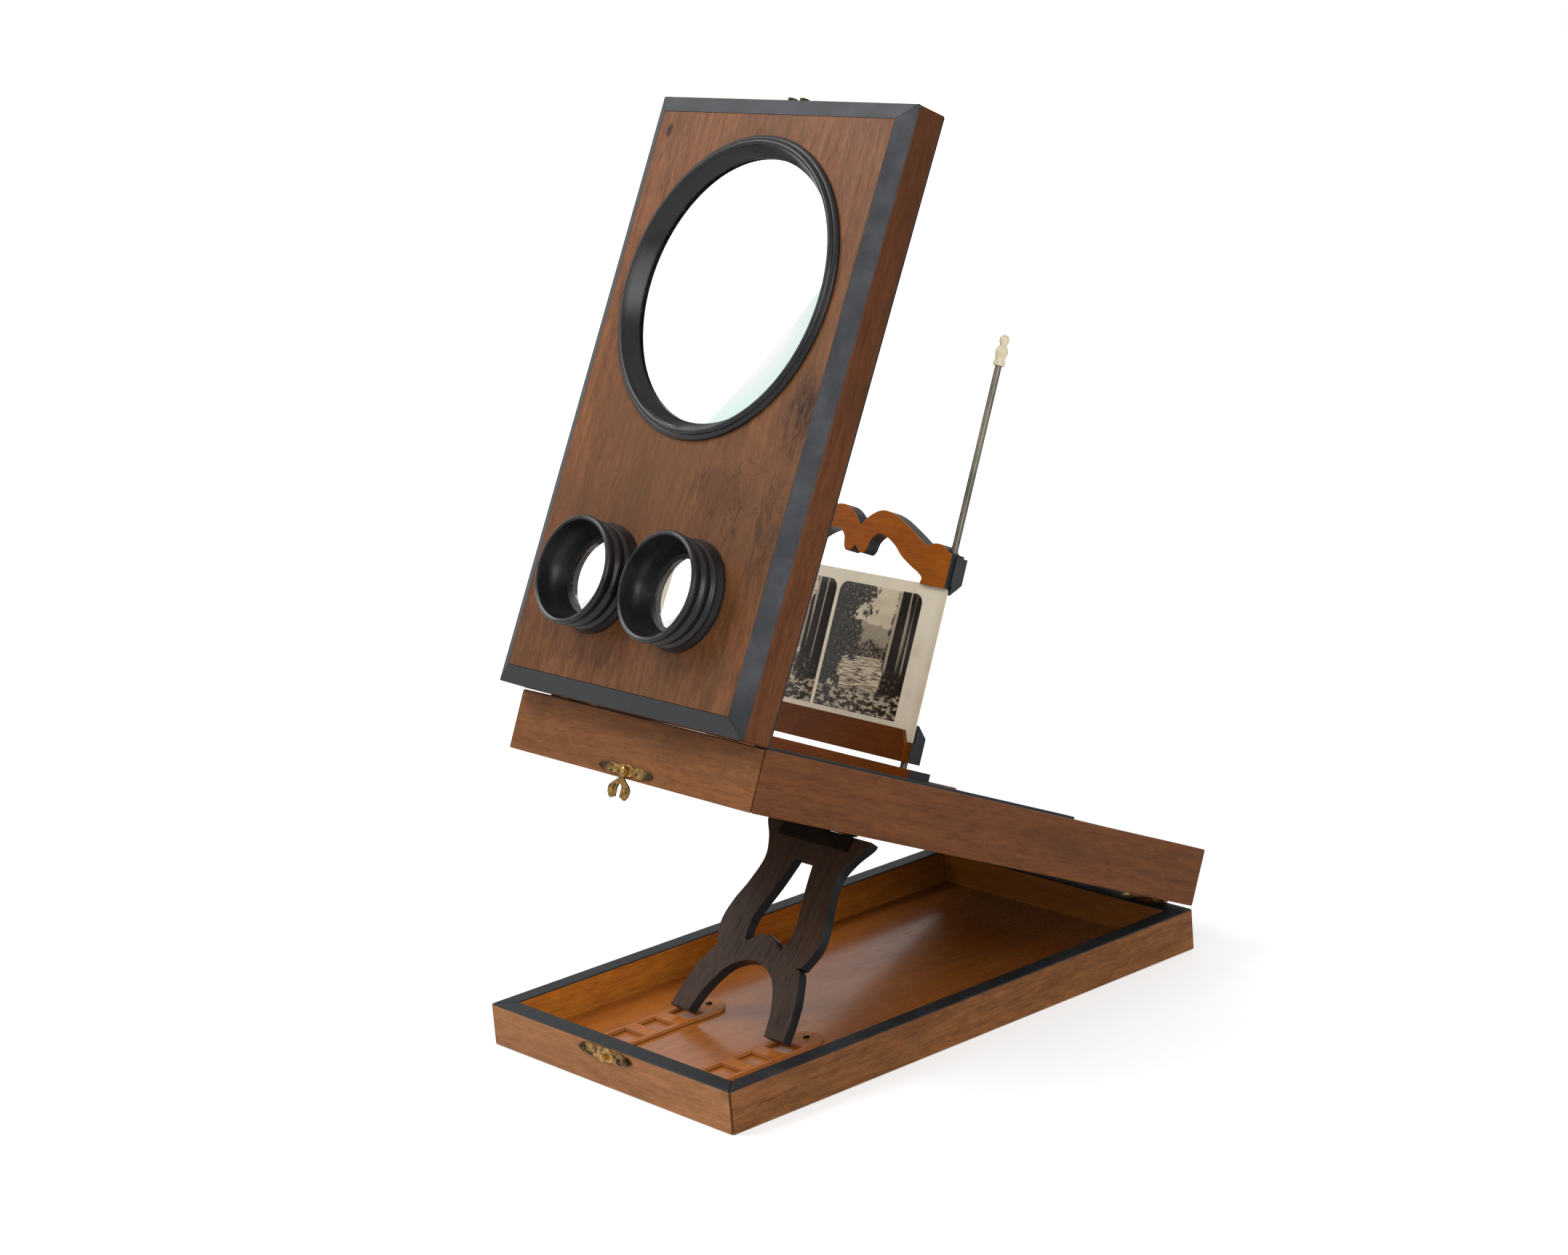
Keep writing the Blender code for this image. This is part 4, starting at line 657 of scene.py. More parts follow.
class GRAPHOSCOPE_OT_floor(Operator):
    """Varnishes the base's floor, its notched racks and the tray's deck"""

    bl_idname = "graphoscope.floor"
    bl_label = "Floor and racks"

    def execute(self, context):
        woods = context.scene.graphoscope_woods
        floor = Finish("varnished floor", "base")
        layer = wood_layer(
            floor, 1, woods.floor_dark, woods.floor_light, 0.20, 0.18, 0.05, 0.0, 2.9
        )
        # Painted shade: the floor goes darker and browner towards the rear, where the tray keeps
        # the light off
        shaded = floor.y.rise(0.0, 0.17, 0.0, 0.7)
        layer = floor.tinted(layer, shaded, toned(woods.flank_dark, 1.1))
        material = floor.done(layer, 0.00001, 0.08, Coat_Weight=0.35, Coat_Roughness=0.12)
        dress(material, "base_floor")
        rack = Finish("rack wood", "base")
        tones = (woods.floor_dark, toned(woods.floor_light, 1.15))
        layer = wood_layer(rack, 1, *tones, 0.30, 0.25, 0.3, 0.0, 6.1)
        # Bare wood inside the notches, and a dark line of painted shade along every edge
        upright = rack.facing[2].rise(0.7, 0.4, 0.0, 0.45)
        layer = rack.tinted(layer, upright, woods.cut_face)
        layer = rack.tinted(layer, rack.edges(0.0007) * 0.75, toned(woods.floor_dark, 0.25))
        dress(waxed(rack, layer, Coat_Weight=0.15, Coat_Roughness=0.2), "rack_left", "rack_right")
        deck = Finish("tray deck", "tray")
        layer = wood_layer(deck, 1, woods.inner_dark, woods.inner_light, 0.30, 0.3, 0.4, 0.0, 8.3)
        dress(deck.done(layer, 0.00003, Coat_Weight=0.2, Coat_Roughness=0.15), "tray_deck")
        return {"FINISHED"}


class GRAPHOSCOPE_OT_tray(Operator):
    """Finishes the tray's boards, its underboard and the slide bar's guides"""

    bl_idname = "graphoscope.tray"
    bl_label = "Tray"

    def execute(self, context):
        woods = context.scene.graphoscope_woods
        front = Finish("tray front walnut", "tray")
        # The front's colours carry painted shade: darker for how light falls on the tray's front
        layer = wood_layer(front, 0, woods.front_dark, woods.front_light, 0.36, 0.45, 0.2, 0.1, 3.1)
        seam = corner_line(front, front.x, HALF_WIDTH)
        # Painted shade: a dark band along the front's top edge, under the lens panel
        seam = seam.larger(front.z.rise(TRAY_RIM - 0.0005, TRAY_RIM - 0.0001))
        layer = front.over(seam, layer, (toned(woods.flank_dark, 0.3), 0.8, 0.0))
        dress(waxed(front, layer), "tray_front_board", "tray_rear_board")
        side = Finish("tray side walnut", "tray")
        tones = (woods.flank_dark, woods.flank_light)
        layer = wood_layer(side, 1, *tones, 0.32, 0.30, 0.2, woods.wear, 5.3)
        dress(waxed(side, layer), "tray_left_board", "tray_right_board")
        under = Finish("tray underboard", "tray")
        layer = wood_layer(under, 1, woods.flank_dark, woods.side_light, 0.5, 0.3, 0.05, 0.0, 9.9)
        dress(waxed(under, layer), "tray_underboard")
        guide = Finish("slide guides", "tray")
        dress(guide.done(ebony_layer(guide, woods, 0.4, 1)), "runner_left", "runner_right")
        return {"FINISHED"}


STRUT_EDGE = (
    (0.885, 0.0, True), (0.868, -0.028, False), (0.72, -0.108, False), (0.633, -0.205, False),
    (0.700, -0.333, False), (0.800, -0.440, False), (0.836, -0.545, False), (0.745, -0.652, True),
    (0.665, -0.664, True), (0.745, -0.674, False), (0.885, -0.790, False), (0.960, -0.905, False),
    (0.990, -1.0, True),
)
STRUT_ARCH = (
    (0.665, -1.0, True), (0.590, -0.885, False), (0.425, -0.766, False), (0.220, -0.706, False),
    (0.0, -0.686, False),
)
STRUT_OPENING = (
    (0.0, -0.168, True), (0.155, -0.168, True), (0.235, -0.305, False), (0.335, -0.435, False),
    (0.368, -0.520, False), (0.315, -0.598, False), (0.245, -0.592, False),
    (0.130, -0.560, False), (0.0, -0.545, False),
)
STRUT_TOP = -0.0025
STRUT_MIDDLE = -0.0026


class GRAPHOSCOPE_OT_strut(Operator):
    """Builds the lyre-shaped strut with a finer outline and blackened edges"""

    bl_idname = "graphoscope.strut"
    bl_label = "Strut"

    def execute(self, context):
        woods = context.scene.graphoscope_woods
        sizes = context.scene.graphoscope_sizes
        finish = Finish("strut wood", "strut")
        face = wood_layer(finish, 1, woods.strut_dark, woods.strut_light, 0.42, 0.4, 0.3, 0.3, 7.7)
        edge = ebony_layer(finish, woods, 0.32, 1, 0.2)
        sawn = abs(finish.facing[2]).rise(0.75, 0.55)
        material = waxed(finish, finish.over(sawn, face, edge))
        outer, arch, opening = (
            smooth_path(scaled(knots, sizes.strut_half, sizes.strut_reach, STRUT_TOP), 10)
            for knots in (STRUT_EDGE, STRUT_ARCH, STRUT_OPENING)
        )
        outline = [mirrored([(0, STRUT_TOP), *outer, *arch]), mirrored(opening)]
        lay = body_matrix("strut") @ basis((1, 0, 0), (0, 1, 0), (0, 0, STRUT_MIDDLE))
        mesh = slab(outline, sizes.strut_thick, lay, sizes.softened)
        piece = flat_shaded(new_piece("strut_board", mesh, "strut", material))
        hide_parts("strut")
        return {"FINISHED"}


# Dark patches on the lens board: middle across and up, half width, half height, strength
GRIME_PATCHES = (
    (0.089, 0.172, 0.016, 0.034, 1.0),
    (0.088, 0.105, 0.016, 0.050, 0.7),
    (0.040, 0.125, 0.040, 0.020, 0.4),
    (-0.0885, 0.3255, 0.0035, 0.0055, 1.0),
    (-0.020, 0.022, 0.070, 0.018, 0.45),
    (0.060, 0.035, 0.035, 0.025, 0.4),
)
CRACK_PATCH = (0.055, 0.125, 0.05, 0.04, 0.7)


class GRAPHOSCOPE_OT_panel_boards(Operator):
    """Finishes the lens panel's worn board, its sides and its bevelled black border"""

    bl_idname = "graphoscope.panel_boards"
    bl_label = "Lens panel boards"

    def execute(self, context):
        woods = context.scene.graphoscope_woods
        self.board(woods)
        for grain, names in ((2, ("left", "right")), (0, ("top", "bottom"))):
            finish = Finish(f"panel side {grain}", "lens_panel")
            tones = (woods.side_dark, woods.side_light)
            side = wood_layer(finish, grain, *tones, 0.30, 0.35, 0.25, woods.wear, 2.2)
            high = finish.z.rise(0.12, 0.33, 0.0, 0.45)
            side = finish.tinted(side, high, toned(woods.side_dark, 0.6))
            edge = ebony_layer(finish, woods, 0.36, grain, 0.2)
            line = finish.y.rise(PANEL_BACK - 0.0018, PANEL_BACK - 0.0012)
            material = waxed(finish, finish.over(line, side, edge))
            dress(material, *(f"panel_{name}_board" for name in names))
            trim = Finish(f"border {grain}", "lens_panel")
            layer = ebony_layer(trim, woods, 0.42, grain, black=woods.border)
            # Painted shade: the border darkens towards the panel's foot
            low = trim.z.rise(0.035, 0.009, 0.0, 0.75)
            material = trim.done(trim.tinted(layer, low, woods.ebony), Specular_IOR_Level=0.35)
            dress(material, *(f"border_{name}" for name in names))
        return {"FINISHED"}

    def board(self, woods):
        board = Finish("lens board walnut", "lens_panel")
        tones = (woods.field_dark, woods.field_light)
        layer = wood_layer(board, 2, *tones, 0.36, 0.40, 0.25, 0.2, 0.6)

        def spot(middle_x, middle_z, wide, tall, strength, core=0.0):
            """Fades from its strength at a patch's core to 0 at the patch's rim."""
            across, up = (board.x - middle_x) / wide, (board.z - middle_z) / tall
            return (across * across + up * up).rise(1.0, core, 0.0, strength)

        # Sun and handling have left broad browner patches
        faded = board.noise(17.0, 6.0, 0.7, 0.5, board.stretched((1, 1, 0.6), (0.7, 0.0, 0.1)))
        layer = board.tinted(layer, faded.rise(0.42, 0.60, 0.0, 0.55), woods.field_brown)
        # Grime gathers low on the board and in a few dark patches at its right
        smear = board.noise(150.0, 7.0, 0.8, 0.6, board.stretched((1, 1, 0.35), (0.4, 0.0, 0.2)))
        amount = board.z.rise(0.20, 0.02) * 0.35
        for patch in GRIME_PATCHES:
            amount = amount.larger(spot(*patch))
        amount = amount * smear.rise(0.38, 0.60, 0.25, 1.0)
        # Fine wandering cracks below the large lens
        crazed = board.noise(34.0, 3.0, 0.6, 1.2, board.stretched((1, 1, 0.8), (0.2, 0.0, 0.9)))
        cracked = crazed.between(0.497, 0.503, 0.004) * spot(*CRACK_PATCH, 0.3)
        # Only the face that is handled and seen is soiled
        front = board.facing[1].rise(-0.3, -0.7)
        soil = (toned(woods.field_dark, 0.22), 0.5, 0.4)
        layer = board.over(amount.larger(cracked) * front, layer, soil)
        dress(waxed(board, layer, 0.00008, 0.6), "lens_board")


def turned_black(name, woods, highlight_line):
    """Polished black turning with a thin pale line painted as a highlight along a lip."""
    finish = Finish(name, "lens_panel")
    layer = ebony_layer(finish, woods, 0.26, 0, 0.25, woods.turned)
    patchy = finish.noise(90.0, 4.0, 0.7).rise(0.42, 0.62)
    # A pale highlight line is painted along the lip, in patches
    layer = finish.over(highlight_line(finish) * patchy, layer, (woods.rubbed, 0.4, 0.5))
    return finish.done(layer, 0.00003, Specular_IOR_Level=0.45)


def from_lens(finish):
    """Distance from the large lens's axis."""
    across, up = finish.x, finish.z - (PANEL_FOOT + LENS_HEIGHT)
    return (across * across + up * up) ** 0.5


# The ring's section from its rim over its bead, in shares of its rise: inwards, up, is a corner
RING_SECTION = (
    (0.0, 0.0, True), (0.0, 0.16, False), (0.10, 0.40, False), (0.42, 0.60, False),
    (0.62, 0.58, True), (0.66, 0.72, False), (0.92, 0.97, False), (1.18, 1.0, False),
    (1.40, 0.88, False), (1.62, 0.48, False), (2.20, -0.42, False),
)
RING_CREST = 1.45


class GRAPHOSCOPE_OT_lens_ring(Operator):
    """Turns the lens ring with its bead, groove and hollow inner slope"""

    bl_idname = "graphoscope.lens_ring"
    bl_label = "Lens ring"

    def execute(self, context):
        sizes = context.scene.graphoscope_sizes
        seat = FIELD_RISE + GAP
        radius, rise = sizes.ring_radius, sizes.ring_rise

        # Painted highlight: a pale line on the bead's crest, only on its right and low side
        def crest_line(finish):
            crest = radius - rise * RING_CREST
            line = from_lens(finish).between(crest - 0.0003, crest + 0.0001, 0.0002)
            return line * (finish.x * 2.0 - finish.z + LENS_HEIGHT).rise(-0.02, 0.07)

        finish = turned_black("turned ring black", context.scene.graphoscope_woods, crest_line)
        rebate = sizes.lens_radius + GAP
        outer = [(radius - rise * inwards, seat + rise * up, c) for inwards, up, c in RING_SECTION]
        path = smooth_path([*outer, (sizes.lens_opening, rise / 6, True)], 6)
        inner = [
            (sizes.lens_opening, 0.0),
            (rebate, 0.0),
            (rebate, -BOARD_BACK),
            (sizes.ring_spigot, -BOARD_BACK),
            (sizes.ring_spigot, seat),
        ]
        mesh = turned(path + inner, RING_STEPS, on_panel(0.0, LENS_HEIGHT))
        ring = new_piece("turned_lens_ring", mesh, "lens_panel", finish)
        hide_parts("lens_ring")
        back, front = -sizes.retainer_back, -sizes.retainer_front
        section = [
            (sizes.lens_opening, front - GAP),
            (sizes.lens_radius, front),
            (sizes.lens_radius, back),
            (sizes.lens_opening + sizes.retainer_chamfer, back),
        ]
        mesh = turned(section, RING_STEPS, on_panel(0.0, LENS_HEIGHT))
        retainer = new_piece("turned_lens_retainer", mesh, "lens_panel", finish, 20)
        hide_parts("lens_retainer")
        return {"FINISHED"}


# An eyepiece's outside from its lip down, and its mouth from the throat out, in shares
EYE_OUTER = (
    (0.945, 1.0, False), (0.985, 0.965, False), (1.0, 0.89, False), (0.975, 0.80, False),
    (0.925, 0.73, True), (0.925, 0.67, False), (0.965, 0.60, False), (0.975, 0.52, False),
    (0.935, 0.43, True), (0.930, 0.36, False), (0.975, 0.29, False), (0.985, 0.20, True),
    (1.0, 0.13, False), (1.015, 0.06, False), (1.015, 0.0, True),
)
EYE_MOUTH = ((0.30, 0.0, True), (0.56, 0.32, False), (0.82, 0.62, False), (1.0, 1.0, False))
EYE_MOUTH_RADIUS = 0.905
# The throat is a ledge as thick as this, and the eye lens rests against its back
EYE_LEDGE = 0.0005


class GRAPHOSCOPE_OT_eyepieces(Operator):
    """Turns the two ridged eyepieces"""

    bl_idname = "graphoscope.eyepieces"
    bl_label = "Eyepieces"

    def execute(self, context):
        sizes = context.scene.graphoscope_sizes
        seat = FIELD_RISE + GAP

        # Painted highlight: a pale line round the lip of each eyepiece's mouth
        def lip_line(finish):
            lip = seat + sizes.eye_rise
            return (PANEL_FACE - finish.y).rise(lip - 0.0002, lip, 0.0, 0.4)

        finish = turned_black("turned eyepiece black", context.scene.graphoscope_woods, lip_line)
        throat = seat + sizes.eye_rise - sizes.eye_depth
        ledge = throat - EYE_LEDGE
        rebate = sizes.eye_lens_radius + GAP
        outer = smooth_path(scaled(EYE_OUTER, sizes.eye_radius, sizes.eye_rise, seat), 5)
        flare = sizes.eye_radius * EYE_MOUTH_RADIUS - sizes.eye_opening
        mouth = scaled(EYE_MOUTH, flare, sizes.eye_depth - EYE_LEDGE, throat)
        mouth = smooth_path([(sizes.eye_opening + r, up, corner) for r, up, corner in mouth], 6)
        inner = [
            (sizes.eye_spigot, seat),
            (sizes.eye_spigot, -BOARD_BACK),
            (rebate, -BOARD_BACK),
            (rebate, ledge),
            (sizes.eye_opening, ledge),
        ]
        for side, sign in SIDES:
            place = on_panel(sign * EYE_OFFSET, EYE_HEIGHT)
            mesh = turned(outer + inner + mouth, EYE_STEPS, place)
            piece = new_piece(f"turned_eyepiece_{side}", mesh, "lens_panel", finish)
            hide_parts(f"eyepiece_{side}")
        return {"FINISHED"}


def lens_mesh(radius, edge, curve, matrix, steps=24):
    """A lens with two equal curved faces, its edge centred on height zero."""
    sag = curve - math.sqrt(curve**2 - radius**2)
    radii = [radius * i / steps for i in range(steps + 1)]
    upper = [(r, edge / 2 + sag - curve + math.sqrt(curve**2 - r**2)) for r in radii]
    return turned(upper + [(r, -up) for r, up in reversed(upper)], LENS_STEPS, matrix)


def lens_stand_off(radius, opening, edge, curve):
    """From a seat round the opening to the middle of the lens that rests against it."""
    return edge / 2 + math.sqrt(curve**2 - opening**2) - math.sqrt(curve**2 - radius**2) + GAP


class GRAPHOSCOPE_OT_lenses(Operator):
    """Grinds the large lens and the two eye lenses"""

    bl_idname = "graphoscope.lenses"
    bl_label = "Lenses"

    def execute(self, context):
        sizes = context.scene.graphoscope_sizes
        trim = context.scene.graphoscope_trim
        material = self.glass("large lens glass", trim, 1.2)
        shape = (sizes.lens_edge, sizes.lens_curve)
        off = lens_stand_off(sizes.lens_radius, sizes.lens_opening, *shape)
        place = on_panel(0.0, LENS_HEIGHT) @ Matrix.Translation((0, 0, -off))
        mesh = lens_mesh(sizes.lens_radius, *shape, place)
        piece = new_piece("ground_large_lens", mesh, "lens_panel", material)
        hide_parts("magnifying_lens")
        material = self.glass("eye lens glass", trim, 1.5)
        ledge = FIELD_RISE + GAP + sizes.eye_rise - sizes.eye_depth - EYE_LEDGE
        shape = (sizes.eye_lens_edge, sizes.eye_lens_curve)
        off = lens_stand_off(sizes.eye_lens_radius, sizes.eye_opening, *shape)
        for side, sign in SIDES:
            lift = Matrix.Translation((0, 0, ledge - off))
            place = on_panel(sign * EYE_OFFSET, EYE_HEIGHT) @ lift
            mesh = lens_mesh(sizes.eye_lens_radius, *shape, place)
            piece = new_piece(f"ground_eye_lens_{side}", mesh, "lens_panel", material)
            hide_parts(f"eye_lens_{side}")
        return {"FINISHED"}

    def glass(self, name, trim, bending):
        """Clear glass with a faint green tint low at the large lens's right rim: partly the glass's
        own green edge, partly a painted reflection.
        """
        glass = Finish(name, "lens_panel")
        low_right = (glass.x * 0.8 - glass.z * 0.6).rise(-0.130, -0.075)
        # Green rim tint: partly the glass's own edge colour, partly a painted reflection kept to
        # the lower right
        green_rim_and_reflection = from_lens(glass).between(0.074, 0.080, 0.020) * low_right
        smears = glass.noise(60.0, 4.0, 0.6).rise(0.45, 0.75)
        layer = (glass.mix(green_rim_and_reflection, trim.glass, trim.glass_rim), smears * 0.02, smears)
        shine = {"Coat_Weight": 0.2, "Coat_Roughness": 0.02}
        return glass.done(layer, 0.000002, 0.1, Transmission_Weight=1.0, IOR=bending, **shine)


class GRAPHOSCOPE_OT_hinges(Operator):
    """Finishes the brass hinges and the rack screws"""

    bl_idname = "graphoscope.hinges"
    bl_label = "Hinges"

    def execute(self, context):
        trim = context.scene.graphoscope_trim
        hinge = Finish("hinge brass", "base")
        material = hinge.done(brass_layer(hinge, trim.brass, trim.grime, 0.6), Metallic=1.0)
        for side in ("left", "right"):
            for leaf in ("fixed", "moving"):
                dress(material, f"rear_hinge_{side}_{leaf}_leaf", f"panel_hinge_{side}_{leaf}_leaf")
        dark = Finish("blackened hinge brass", "base")
        layer = brass_layer(dark, toned(trim.brass, 0.015), toned(trim.grime, 0.2), 0.6)
        blackened = dark.done(layer, Specular_IOR_Level=0.2)
        dress(blackened, "rack_screw_left", "rack_screw_right")
        dress(blackened, "strut_hinge_fixed_leaf", "strut_hinge_moving_leaf")
        return {"FINISHED"}


class GRAPHOSCOPE_OT_hook(Operator):
    """Finishes the hook, its plates and pins, and the catch on the panel's top"""

    bl_idname = "graphoscope.hook"
    bl_label = "Hook and keeper"

    def execute(self, context):
        trim = context.scene.graphoscope_trim
        plate = Finish("plate brass", "base")
        layer = brass_layer(plate, trim.brass, trim.grime)
        ends = abs(plate.x).rise(0.009, 0.021, 0.0, 0.9)
        material = plate.done(plate.tinted(layer, ends, trim.grime), 0.00012, 0.8, Metallic=1.0)
        dress(material, "hook_plate", "hook_pivot_screw", "keeper_plate", "keeper_stud")
        dress(material, "keeper_screw_left", "keeper_screw_right")
        swing = Finish("hook brass", "hook")
        layer = brass_layer(swing, toned(trim.brass, 0.75), trim.grime, 1.5)
        dress(swing.done(layer, 0.00012, 0.8, Metallic=1.0), "hook")
        for name in ("keeper_plate", "hook_plate", "hook"):
            soft = NODES[name].modifiers.new("softened edges", "BEVEL")
            soft.width = 0.00015
            soft.segments = 2
            soft.limit_method = "ANGLE"
        dark = Finish("catch brass", "lens_panel")
        layer = brass_layer(dark, toned(trim.brass, 0.08), toned(trim.grime, 0.3))
        dress(dark.done(layer, Metallic=1.0), "panel_catch")
        return {"FINISHED"}


FINIAL = (
    (0.0, 1.0, False), (0.42, 0.975, False), (0.72, 0.90, False), (0.80, 0.81, False),
    (0.66, 0.71, False), (0.50, 0.65, True), (0.74, 0.60, False), (0.98, 0.49, False),
    (0.98, 0.39, False), (0.84, 0.27, False), (0.80, 0.17, True), (0.95, 0.13, False),
    (0.95, 0.0, True),
)


class GRAPHOSCOPE_OT_rods(Operator):
    """Finishes the rods and turns their bone finials"""

    bl_idname = "graphoscope.rods"
    bl_label = "Rods and finials"

    def execute(self, context):
        trim = context.scene.graphoscope_trim
        sizes = context.scene.graphoscope_sizes
        rod = Finish("rod brass", "holder")
        drawn = rod.noise(1800.0, 3.0, 0.6, vector=rod.stretched((1, 1, 0.03)))
        patches = rod.noise(150.0, 4.0, 0.6, vector=rod.stretched((1, 1, 0.3))).rise(0.38, 0.68)
        colour = rod.mix(patches, trim.rod, toned(trim.rod, 0.55))
        material = rod.done((colour, drawn * 0.2 + 0.34, drawn), 0.00002, Metallic=0.85)
        dress(material, "rod_left", "rod_right")
        bone = Finish("polished bone", "holder")
        streaks = bone.noise(900.0, 4.0, 0.6, vector=bone.stretched((1, 1, 0.12), (0.3, 0.1, 0.2)))
        soil = bone.noise(200.0, 4.0, 0.6).rise(0.45, 0.75)
        colour = bone.mix(streaks.rise(0.50, 0.72), trim.bone, trim.bone_grain)
        colour = bone.mix(soil * 0.35, colour, trim.bone_grain)
        layer = (colour, soil * 0.15 + 0.25, streaks)
        material = bone.done(layer, 0.00002, Subsurface_Weight=0.15, Subsurface_Scale=0.002)
        profile = smooth_path(scaled(FINIAL, sizes.finial_radius, sizes.finial_tall), 6)
        for side, sign in SIDES:
            place = Matrix.Translation((sign * ROD_OFFSET, 0, sizes.finial_foot - PIVOT_RISE))
            mesh = turned([*profile, (0.0, 0.0)], FINIAL_STEPS, body_matrix("holder") @ place)
            piece = new_piece(f"turned_finial_{side}", mesh, "holder", material)
            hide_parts(f"finial_{side}")
        return {"FINISHED"}


def rail_finish(name, woods, behind, end, shade=1.0):
    """Orange-brown on the face, and ebonised behind it and at the ends."""
    finish = Finish(name, "holder")
    # The shade factor darkens the rails' colours: partly their darker wood, partly painted shade
    tones = (toned(woods.rail_dark, shade), toned(woods.rail_light, shade))
    face = wood_layer(finish, 0, *tones, 0.28, 0.3, 0.2, 0.5, 3.7)
    edge = ebony_layer(finish, woods, 0.34)
    tip = abs(finish.x).rise(end - 0.0006, end - 0.0003)
    black = finish.y.rise(behind, behind + 0.0004).larger(tip)
    return waxed(finish, finish.over(black, face, edge), Coat_Weight=0.05, Coat_Roughness=0.2)


def bored(mesh, radius, groove=None):
    """Drills both rods' bores through a rail, and cuts the card's groove if it has one."""
    piece = linked("rail", mesh)
    drills = []
    cuts = [groove] if groove else []
    for sign in (-1, 1):
        length = [(0, 0), (radius, 0), (radius, 0.2), (0, 0.2)]
        place = body_matrix("holder") @ Matrix.Translation((sign * ROD_OFFSET, 0, 0.05))
        cuts.append(turned(length, BORE_STEPS, place))
    for cut in cuts:
        drill = linked("drill", cut)
        drills.append(drill)
        change = piece.modifiers.new("bore", "BOOLEAN")
        change.operation = "DIFFERENCE"
        change.solver = "EXACT"
        change.object = drill
    graph = bpy.context.evaluated_depsgraph_get()
    drilled = bpy.data.meshes.new_from_object(piece.evaluated_get(graph))
    for helper in (piece, *drills):
        bpy.data.objects.remove(helper, do_unlink=True)
    return drilled


# Right half of the fretwork's top edge and then its underside, in shares of its half length
# and of the height from its cusp (0) to its crown (1)
FRET_TOP = (
    (0.0, 0.0, True), (0.085, 0.62, False), (0.196, 1.0, False), (0.330, 0.88, False),
    (0.480, 0.42, False), (0.620, -0.10, False), (0.723, -0.50, True), (0.795, -0.31, False),
    (0.880, -0.34, False), (0.959, -0.70, True),
)
FRET_UNDER = (
    (0.735, -2.59, True), (0.740, -2.25, False), (0.690, -2.00, True), (0.602, -1.72, False),
    (0.493, -1.30, False), (0.400, -0.78, False), (0.300, -0.42, False), (0.205, -0.33, False),
    (0.140, -0.72, False), (0.118, -1.26, False), (0.085, -1.50, False), (0.045, -1.40, False),
    (0.0, -1.12, True),
)
FRET_CUSP = 0.1364
FRET_CROWN = 0.1469
FRET_FOOT = 0.1092
# The card's groove in the fretwork's two feet, behind its face and above the rods' pivot
CARD_GROOVE = ((-0.0039, 0.1030), (-0.0027, 0.1030), (-0.0027, 0.1055), (-0.0039, 0.1055))
END_BLOCK = (0.0583, 0.0820)
END_SECTION = (
    (-0.0037, 0.1277), (0.0047, 0.1277), (0.0047, 0.1128), (-0.0027, 0.1057), (-0.0027, 0.1109),
    (-0.0037, 0.1109),
)


class GRAPHOSCOPE_OT_rails(Operator):
    """Builds the fretwork rail with flowing curves and finishes the lower rail and slide bar"""

    bl_idname = "graphoscope.rails"
    bl_label = "Rails and slide bar"

    def execute(self, context):
        woods = context.scene.graphoscope_woods
        sizes = context.scene.graphoscope_sizes
        holder = body_matrix("holder")
        # The lower rail and the slide bar are darkened: partly their darker wood, partly painted
        # shade
        dress(rail_finish("rail wood", woods, -0.0036, 0.082, 0.4), "lower_rail")
        dress(rail_finish("slide bar wood", woods, -0.0038, 0.085, 0.55), "slide_bar")
        fit = (sizes.fret_half, FRET_CROWN - FRET_CUSP, FRET_CUSP - PIVOT_RISE)
        top = smooth_path(scaled(FRET_TOP, *fit), 10)
        under = smooth_path(scaled(FRET_UNDER, *fit), 10)
        end = [(sizes.fret_half, top[-1][1]), (sizes.fret_half, FRET_FOOT - PIVOT_RISE)]
        half = top + end + under
        outline = half + [(-across, up) for across, up in reversed(half[1:-1])]
        thick = sizes.fret_front + sizes.fret_back
        middle = (sizes.fret_back - sizes.fret_front) / 2
        lay = holder @ basis((1, 0, 0), (0, 0, 1), (0, middle, 0))
        sawn = slab([outline], thick, lay, sizes.softened)
        along = holder @ basis((0, 1, 0), (0, 0, 1))
        groove = slab([CARD_GROOVE], sizes.fret_half * 2.2, along, 0.0)
        mesh = bored(sawn, sizes.rod_bore, groove)
        face = rail_finish("fretwork wood", woods, -sizes.fret_front + 0.0005, sizes.fret_half)
        strip = new_piece("fretwork_strip", mesh, "upper_rail", face)
        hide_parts("upper_rail")
        flat_shaded(strip)
        black = Finish("rail end black", "holder")
        material = black.done(ebony_layer(black, woods, 0.34))
        section = [(across, up - PIVOT_RISE) for across, up in END_SECTION]
        for side, sign in SIDES:
            lay = holder @ basis((0, 1, 0), (0, 0, 1), (sign * sum(END_BLOCK) / 2, 0, 0))
            block = slab([section], END_BLOCK[1] - END_BLOCK[0], lay, sizes.softened)
            mesh = bored(block, sizes.rod_bore)
            flat_shaded(new_piece(f"rail_end_{side}", mesh, "upper_rail", material))
        return {"FINISHED"}


